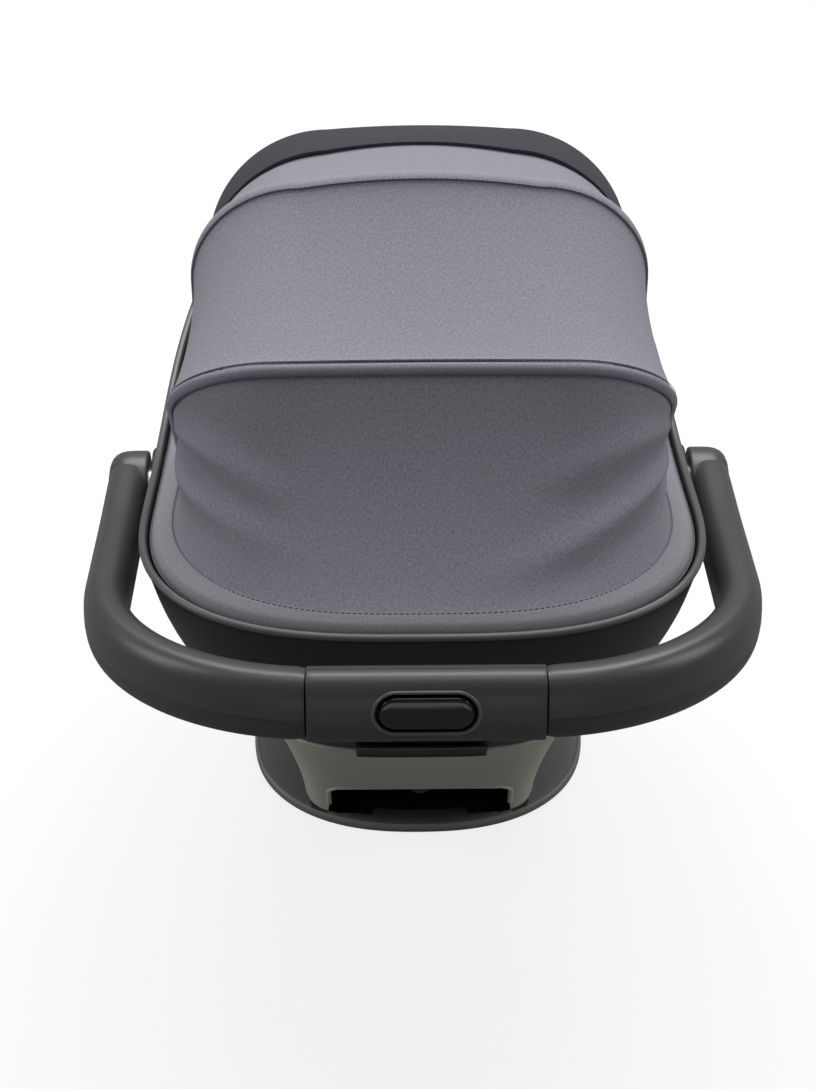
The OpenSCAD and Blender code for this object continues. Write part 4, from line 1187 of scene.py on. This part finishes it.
def puff(piece, pressure, cap, voxel=0.005):
    # remeshes a closed piece evenly and lets it swell a little, then keeps the result
    change = piece.modifiers.new("even", "REMESH")
    change.mode = "VOXEL"
    change.voxel_size = voxel
    applyAll(piece)
    start = np.array([v.co for v in piece.data.vertices])
    swell = piece.modifiers.new("swell", "CLOTH")
    settings = swell.settings
    settings.use_pressure = True
    settings.uniform_pressure_force = pressure
    settings.effector_weights.gravity = 0
    settings.quality = 5
    scene = bpy.context.scene
    for f in range(1, 21):
        scene.frame_set(f)
    applyAll(piece)
    moved = np.array([v.co for v in piece.data.vertices])
    shift = moved - start
    size = np.linalg.norm(shift, axis=1, keepdims=True)
    shift *= np.minimum(1, cap / np.maximum(size, 1e-9))
    piece.data.vertices.foreach_set("co", (start + shift).astype(np.float32).ravel())
    scene.frame_set(1)
    finer = piece.modifiers.new("finer", "SUBSURF")
    finer.levels = 1
    finer.render_levels = 1
    applyAll(piece)
    piece.data.shade_smooth()


def applyAll(piece):
    graph = bpy.context.evaluated_depsgraph_get()
    graph.update()
    mesh = bpy.data.meshes.new_from_object(piece.evaluated_get(graph))
    material = piece.data.materials[0]
    piece.modifiers.clear()
    old = piece.data
    piece.data = mesh
    if not mesh.materials:
        mesh.materials.append(material)
    bpy.data.meshes.remove(old)


def sinkAlong(piece, lines, depth, spread):
    # presses sewn channels into a pad; each line is a list of points
    co = np.array([v.co for v in piece.data.vertices])
    normals = np.array([v.normal for v in piece.data.vertices])
    for line in lines:
        line = resample(line, 60)
        d = np.linalg.norm(co[:, None] - line[None], axis=2).min(1)
        co -= normals * (depth * np.exp(-(d / spread) ** 2))[:, None]
    piece.data.vertices.foreach_set("co", co.astype(np.float32).ravel())
    piece.data.update()


def onBackrest(points):
    a = math.radians(58)
    p = np.asarray(points, float)
    y = p[..., 1] * math.cos(a) - p[..., 2] * math.sin(a) + 0.112
    z = p[..., 1] * math.sin(a) + p[..., 2] * math.cos(a) + 0.186
    return np.stack([p[..., 0], y, z], -1)


def makePads():
    # long insert that runs from the seat up the backrest
    spine = np.array([[-70, 135], [-30, 136.5], [20, 138.5], [46, 141], [66, 153], [80, 170], [94, 194]])
    line = smoothPath(np.column_stack([np.zeros(7), spine]) * mm, 40)
    way = np.gradient(line, axis=0)
    way /= np.linalg.norm(way, axis=1, keepdims=True)
    up = np.cross(np.array([1.0, 0, 0]), way)
    rows = []
    for k, (p, n) in enumerate(zip(line, up)):
        share = k / 39
        half = 0.050 * (1 - 0.22 * (2 * share - 1) ** 4) - 0.002
        thick = 0.0072 * (1 - 0.5 * max(0, abs(2 * share - 1) - 0.85) / 0.15)
        section = ovalSection(half, thick, 3.4, 40)
        rows.append([p + np.array([1.0, 0, 0]) * s + n * h for s, h in section])
    body = loft("bodyInsertPad", rows, finishes["pad"], True, True, True)
    puff(body, 4.0, 0.008)
    quilt = []
    for k in (9, 18, 27):
        p, n = line[k], up[k]
        quilt.append([p + np.array([x, 0, 0]) + n * 0.009 for x in np.linspace(-0.045, 0.045, 12)])
    sinkAlong(body, quilt, 0.0028, 0.0042)
    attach(body, "shell")
    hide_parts("body_pad")
    # U-shaped head support
    turn = np.radians(np.linspace(-25, 205, 60))
    arc = np.stack([0.082 * np.cos(turn), 0.160 + 0.030 * np.sin(turn), np.full(60, 0.016)], 1)
    rows = []
    way = np.gradient(arc, axis=0)
    way /= np.linalg.norm(way, axis=1, keepdims=True)
    for k, (p, w) in enumerate(zip(arc, way)):
        side = np.cross(w, [0, 0, 1.0])
        share = abs(2 * k / 59 - 1)
        end = 1 - 0.55 * max(0, share - 0.86) / 0.14
        section = ovalSection(0.020 * end, 0.013 * end, 2.4, 28)
        rows.append(onBackrest([p + side * s + np.array([0, 0, 1.0]) * h for s, h in section]))
    head = loft("headSupportPad", rows, finishes["pad"], True, True, True)
    puff(head, 4.0, 0.005, 0.0045)
    base = []
    for k in range(30):
        y = 0.118 + 0.088 * k / 29
        half = 0.078 * math.sin(math.pi * (0.12 + 0.76 * k / 29)) ** 0.4
        section = ovalSection(half, 0.0055, 3.0, 40)
        base.append(onBackrest([(s, y, 0.009 + h) for s, h in section]))
    back = loft("headSupportBack", base, finishes["pad"], True, True, True)
    puff(back, 3.0, 0.004, 0.0045)
    for piece in (head, back):
        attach(piece, "shell")
    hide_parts("head_pad")


def strap(name, node, points, looks, width, thick=0.0016, sign=1):
    path = smoothPath(np.array(points) * mm, 70)
    leaned = resample(np.array(looks, float), 70)
    leaned /= np.linalg.norm(leaned, axis=1, keepdims=True)
    h = width / 2
    t = thick / 2
    section = [(-h, -t * 0.5), (-h, t * 0.5), (-h + 0.0008, t), (-h * 0.5, t), (0, t), (h * 0.5, t),
            (h - 0.0008, t), (h, t * 0.5), (h, -t * 0.5),
               (h - 0.0008, -t), (0, -t), (-h + 0.0008, -t)]
    if sign < 0:
        path, leaned = mirrored(path), mirrored(leaned)
    made = sweep(name, path, leaned, section, finishes["webbing"])
    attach(made, "shell")
    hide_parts(node)
    return made


harness = {
    "shoulder": ([[38, 206, 330], [38, 186, 326], [38, 150, 279], [37, 110, 226], [34, 60, 180],
            [26, 4, 166], [19, -34, 172]],
                 [[0, -0.3, 1], [0, -0.75, 0.6], [0, -0.83, 0.55], [0, -0.8, 0.6], [0, -0.5, 0.85],
                         [0, 0, 1], [0, 0.2, 1]], 0.025),
    "lap": ([[88, 34, 186], [78, 12, 182], [60, -12, 174], [38, -36, 168], [26, -44, 167]],
            [[-0.5, -0.3, 1], [-0.5, -0.2, 1], [-0.2, 0, 1], [0, 0, 1], [0, 0, 1]], 0.022),
    "crotch": ([[0, -92, 104], [0, -92, 128], [0, -88, 146], [0, -80, 158]],
               [[0, 1, 0], [0, 1, 0], [0, 0.95, 0.3], [0, 0.9, 0.45]], 0.030),
    "adjuster": ([[0, -166, 126], [0, -184, 150], [0, -202, 168], [0, -217, 188], [0, -227, 214]],
                 [[0, 0.6, 1], [0, 0.7, 1], [0, 0.7, 1], [0, 0.8, 0.9], [0, 0.9, 0.6]], 0.023),
}


def makeHarness():
    for sign, word in ((1, "left"), (-1, "right")):
        strap("shoulderStrap" + word.title(), "shoulder_strap_" + word, *harness["shoulder"], sign=sign)
        strap("lapStrap" + word.title(), "lap_strap_" + word, *harness["lap"], sign=sign)
    strap("crotchStrap", "crotch_strap", *harness["crotch"])
    strap("adjusterStrap", "adjuster_strap", *harness["adjuster"])
    # padded sleeves on the shoulder straps
    a = math.radians(53)
    for sign, word in ((1, "left"), (-1, "right")):
        rows = []
        for k in range(30):
            share = 2 * k / 29 - 1
            y = 0.052 * share
            half = 0.0205 * (1 - 0.35 * max(0, abs(share) - 0.8) / 0.2)
            section = ovalSection(half, 0.0042, 3.0, 32)
            rows.append([(sign * (0.0375 + s), 0.1415 + y * math.cos(a) - (0.0048 + h) * math.sin(a),
                          0.2684 + y * math.sin(a) + (0.0048 + h) * math.cos(a)) for s, h in section])
        sleeve = loft("shoulderPad" + word.title(), rows, finishes["pad"], True, True, True)
        puff(sleeve, 3.0, 0.003, 0.004)
        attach(sleeve, "shell")
        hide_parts("shoulder_pad_" + word)


keptFinishes = {
    "steel": ["base_lock_bars", "base_screws", "lever_spring", "buckle_tongues", "pivot_bolts",
            "lock_disc_left", "lock_disc_right",
              "lock_spring_left", "lock_spring_right", "button_spring", "release_cables"],
    "small": ["lever_bracket", "belt_guide_left", "belt_guide_right", "canopy_mount_left",
            "canopy_mount_right", "buckle_body",
              "adjuster_housing", "button_slider", "release_lever"],
    "skirt": ["adaptor_socket_left", "adaptor_socket_right"],
    "red": ["buckle_button"],
    "bezel": ["adjuster_button"],
}


def dressKeptParts():
    for finish, names in keptFinishes.items():
        for name in names:
            mesh = cadNodes[name].data
            mesh.materials.clear()
            mesh.materials.append(finishes[finish])


def makeFloor():
    # the floor looks white but throws little light back, so undersides stay dark
    t = finishes["floor"].node_tree
    seen = mathNode(t, "MULTIPLY", t.nodes.new("ShaderNodeLightPath").outputs["Is Camera Ray"], 0.80)
    t.links.new(seen, t.nodes["Principled BSDF"].inputs["Emission Strength"])
    a = np.linspace(0, 2 * np.pi, 96, endpoint=False)
    rows = [np.stack([r * np.cos(a), r * np.sin(a), np.full(96, z)], 1) for r,
            z in ((9.0, -0.0002), (0.5, -0.0002), (0.01, -0.0002))]
    floor = loft("studioFloor", rows, finishes["floor"], True, False, True)


makeCamera()
makeLights()
makeFloor()
print("camera, lights and floor are set")
makeShell()
makeBase()
makeLabel()
print("shell, base and label are made")
makeHandle()
print("handle is made")
makeCollar()
makeCanopy()
print("collar and canopy are made")
makeCover()
makePads()
makeHarness()
print("padding and harness are made")
dressKeptParts()
print("finished")
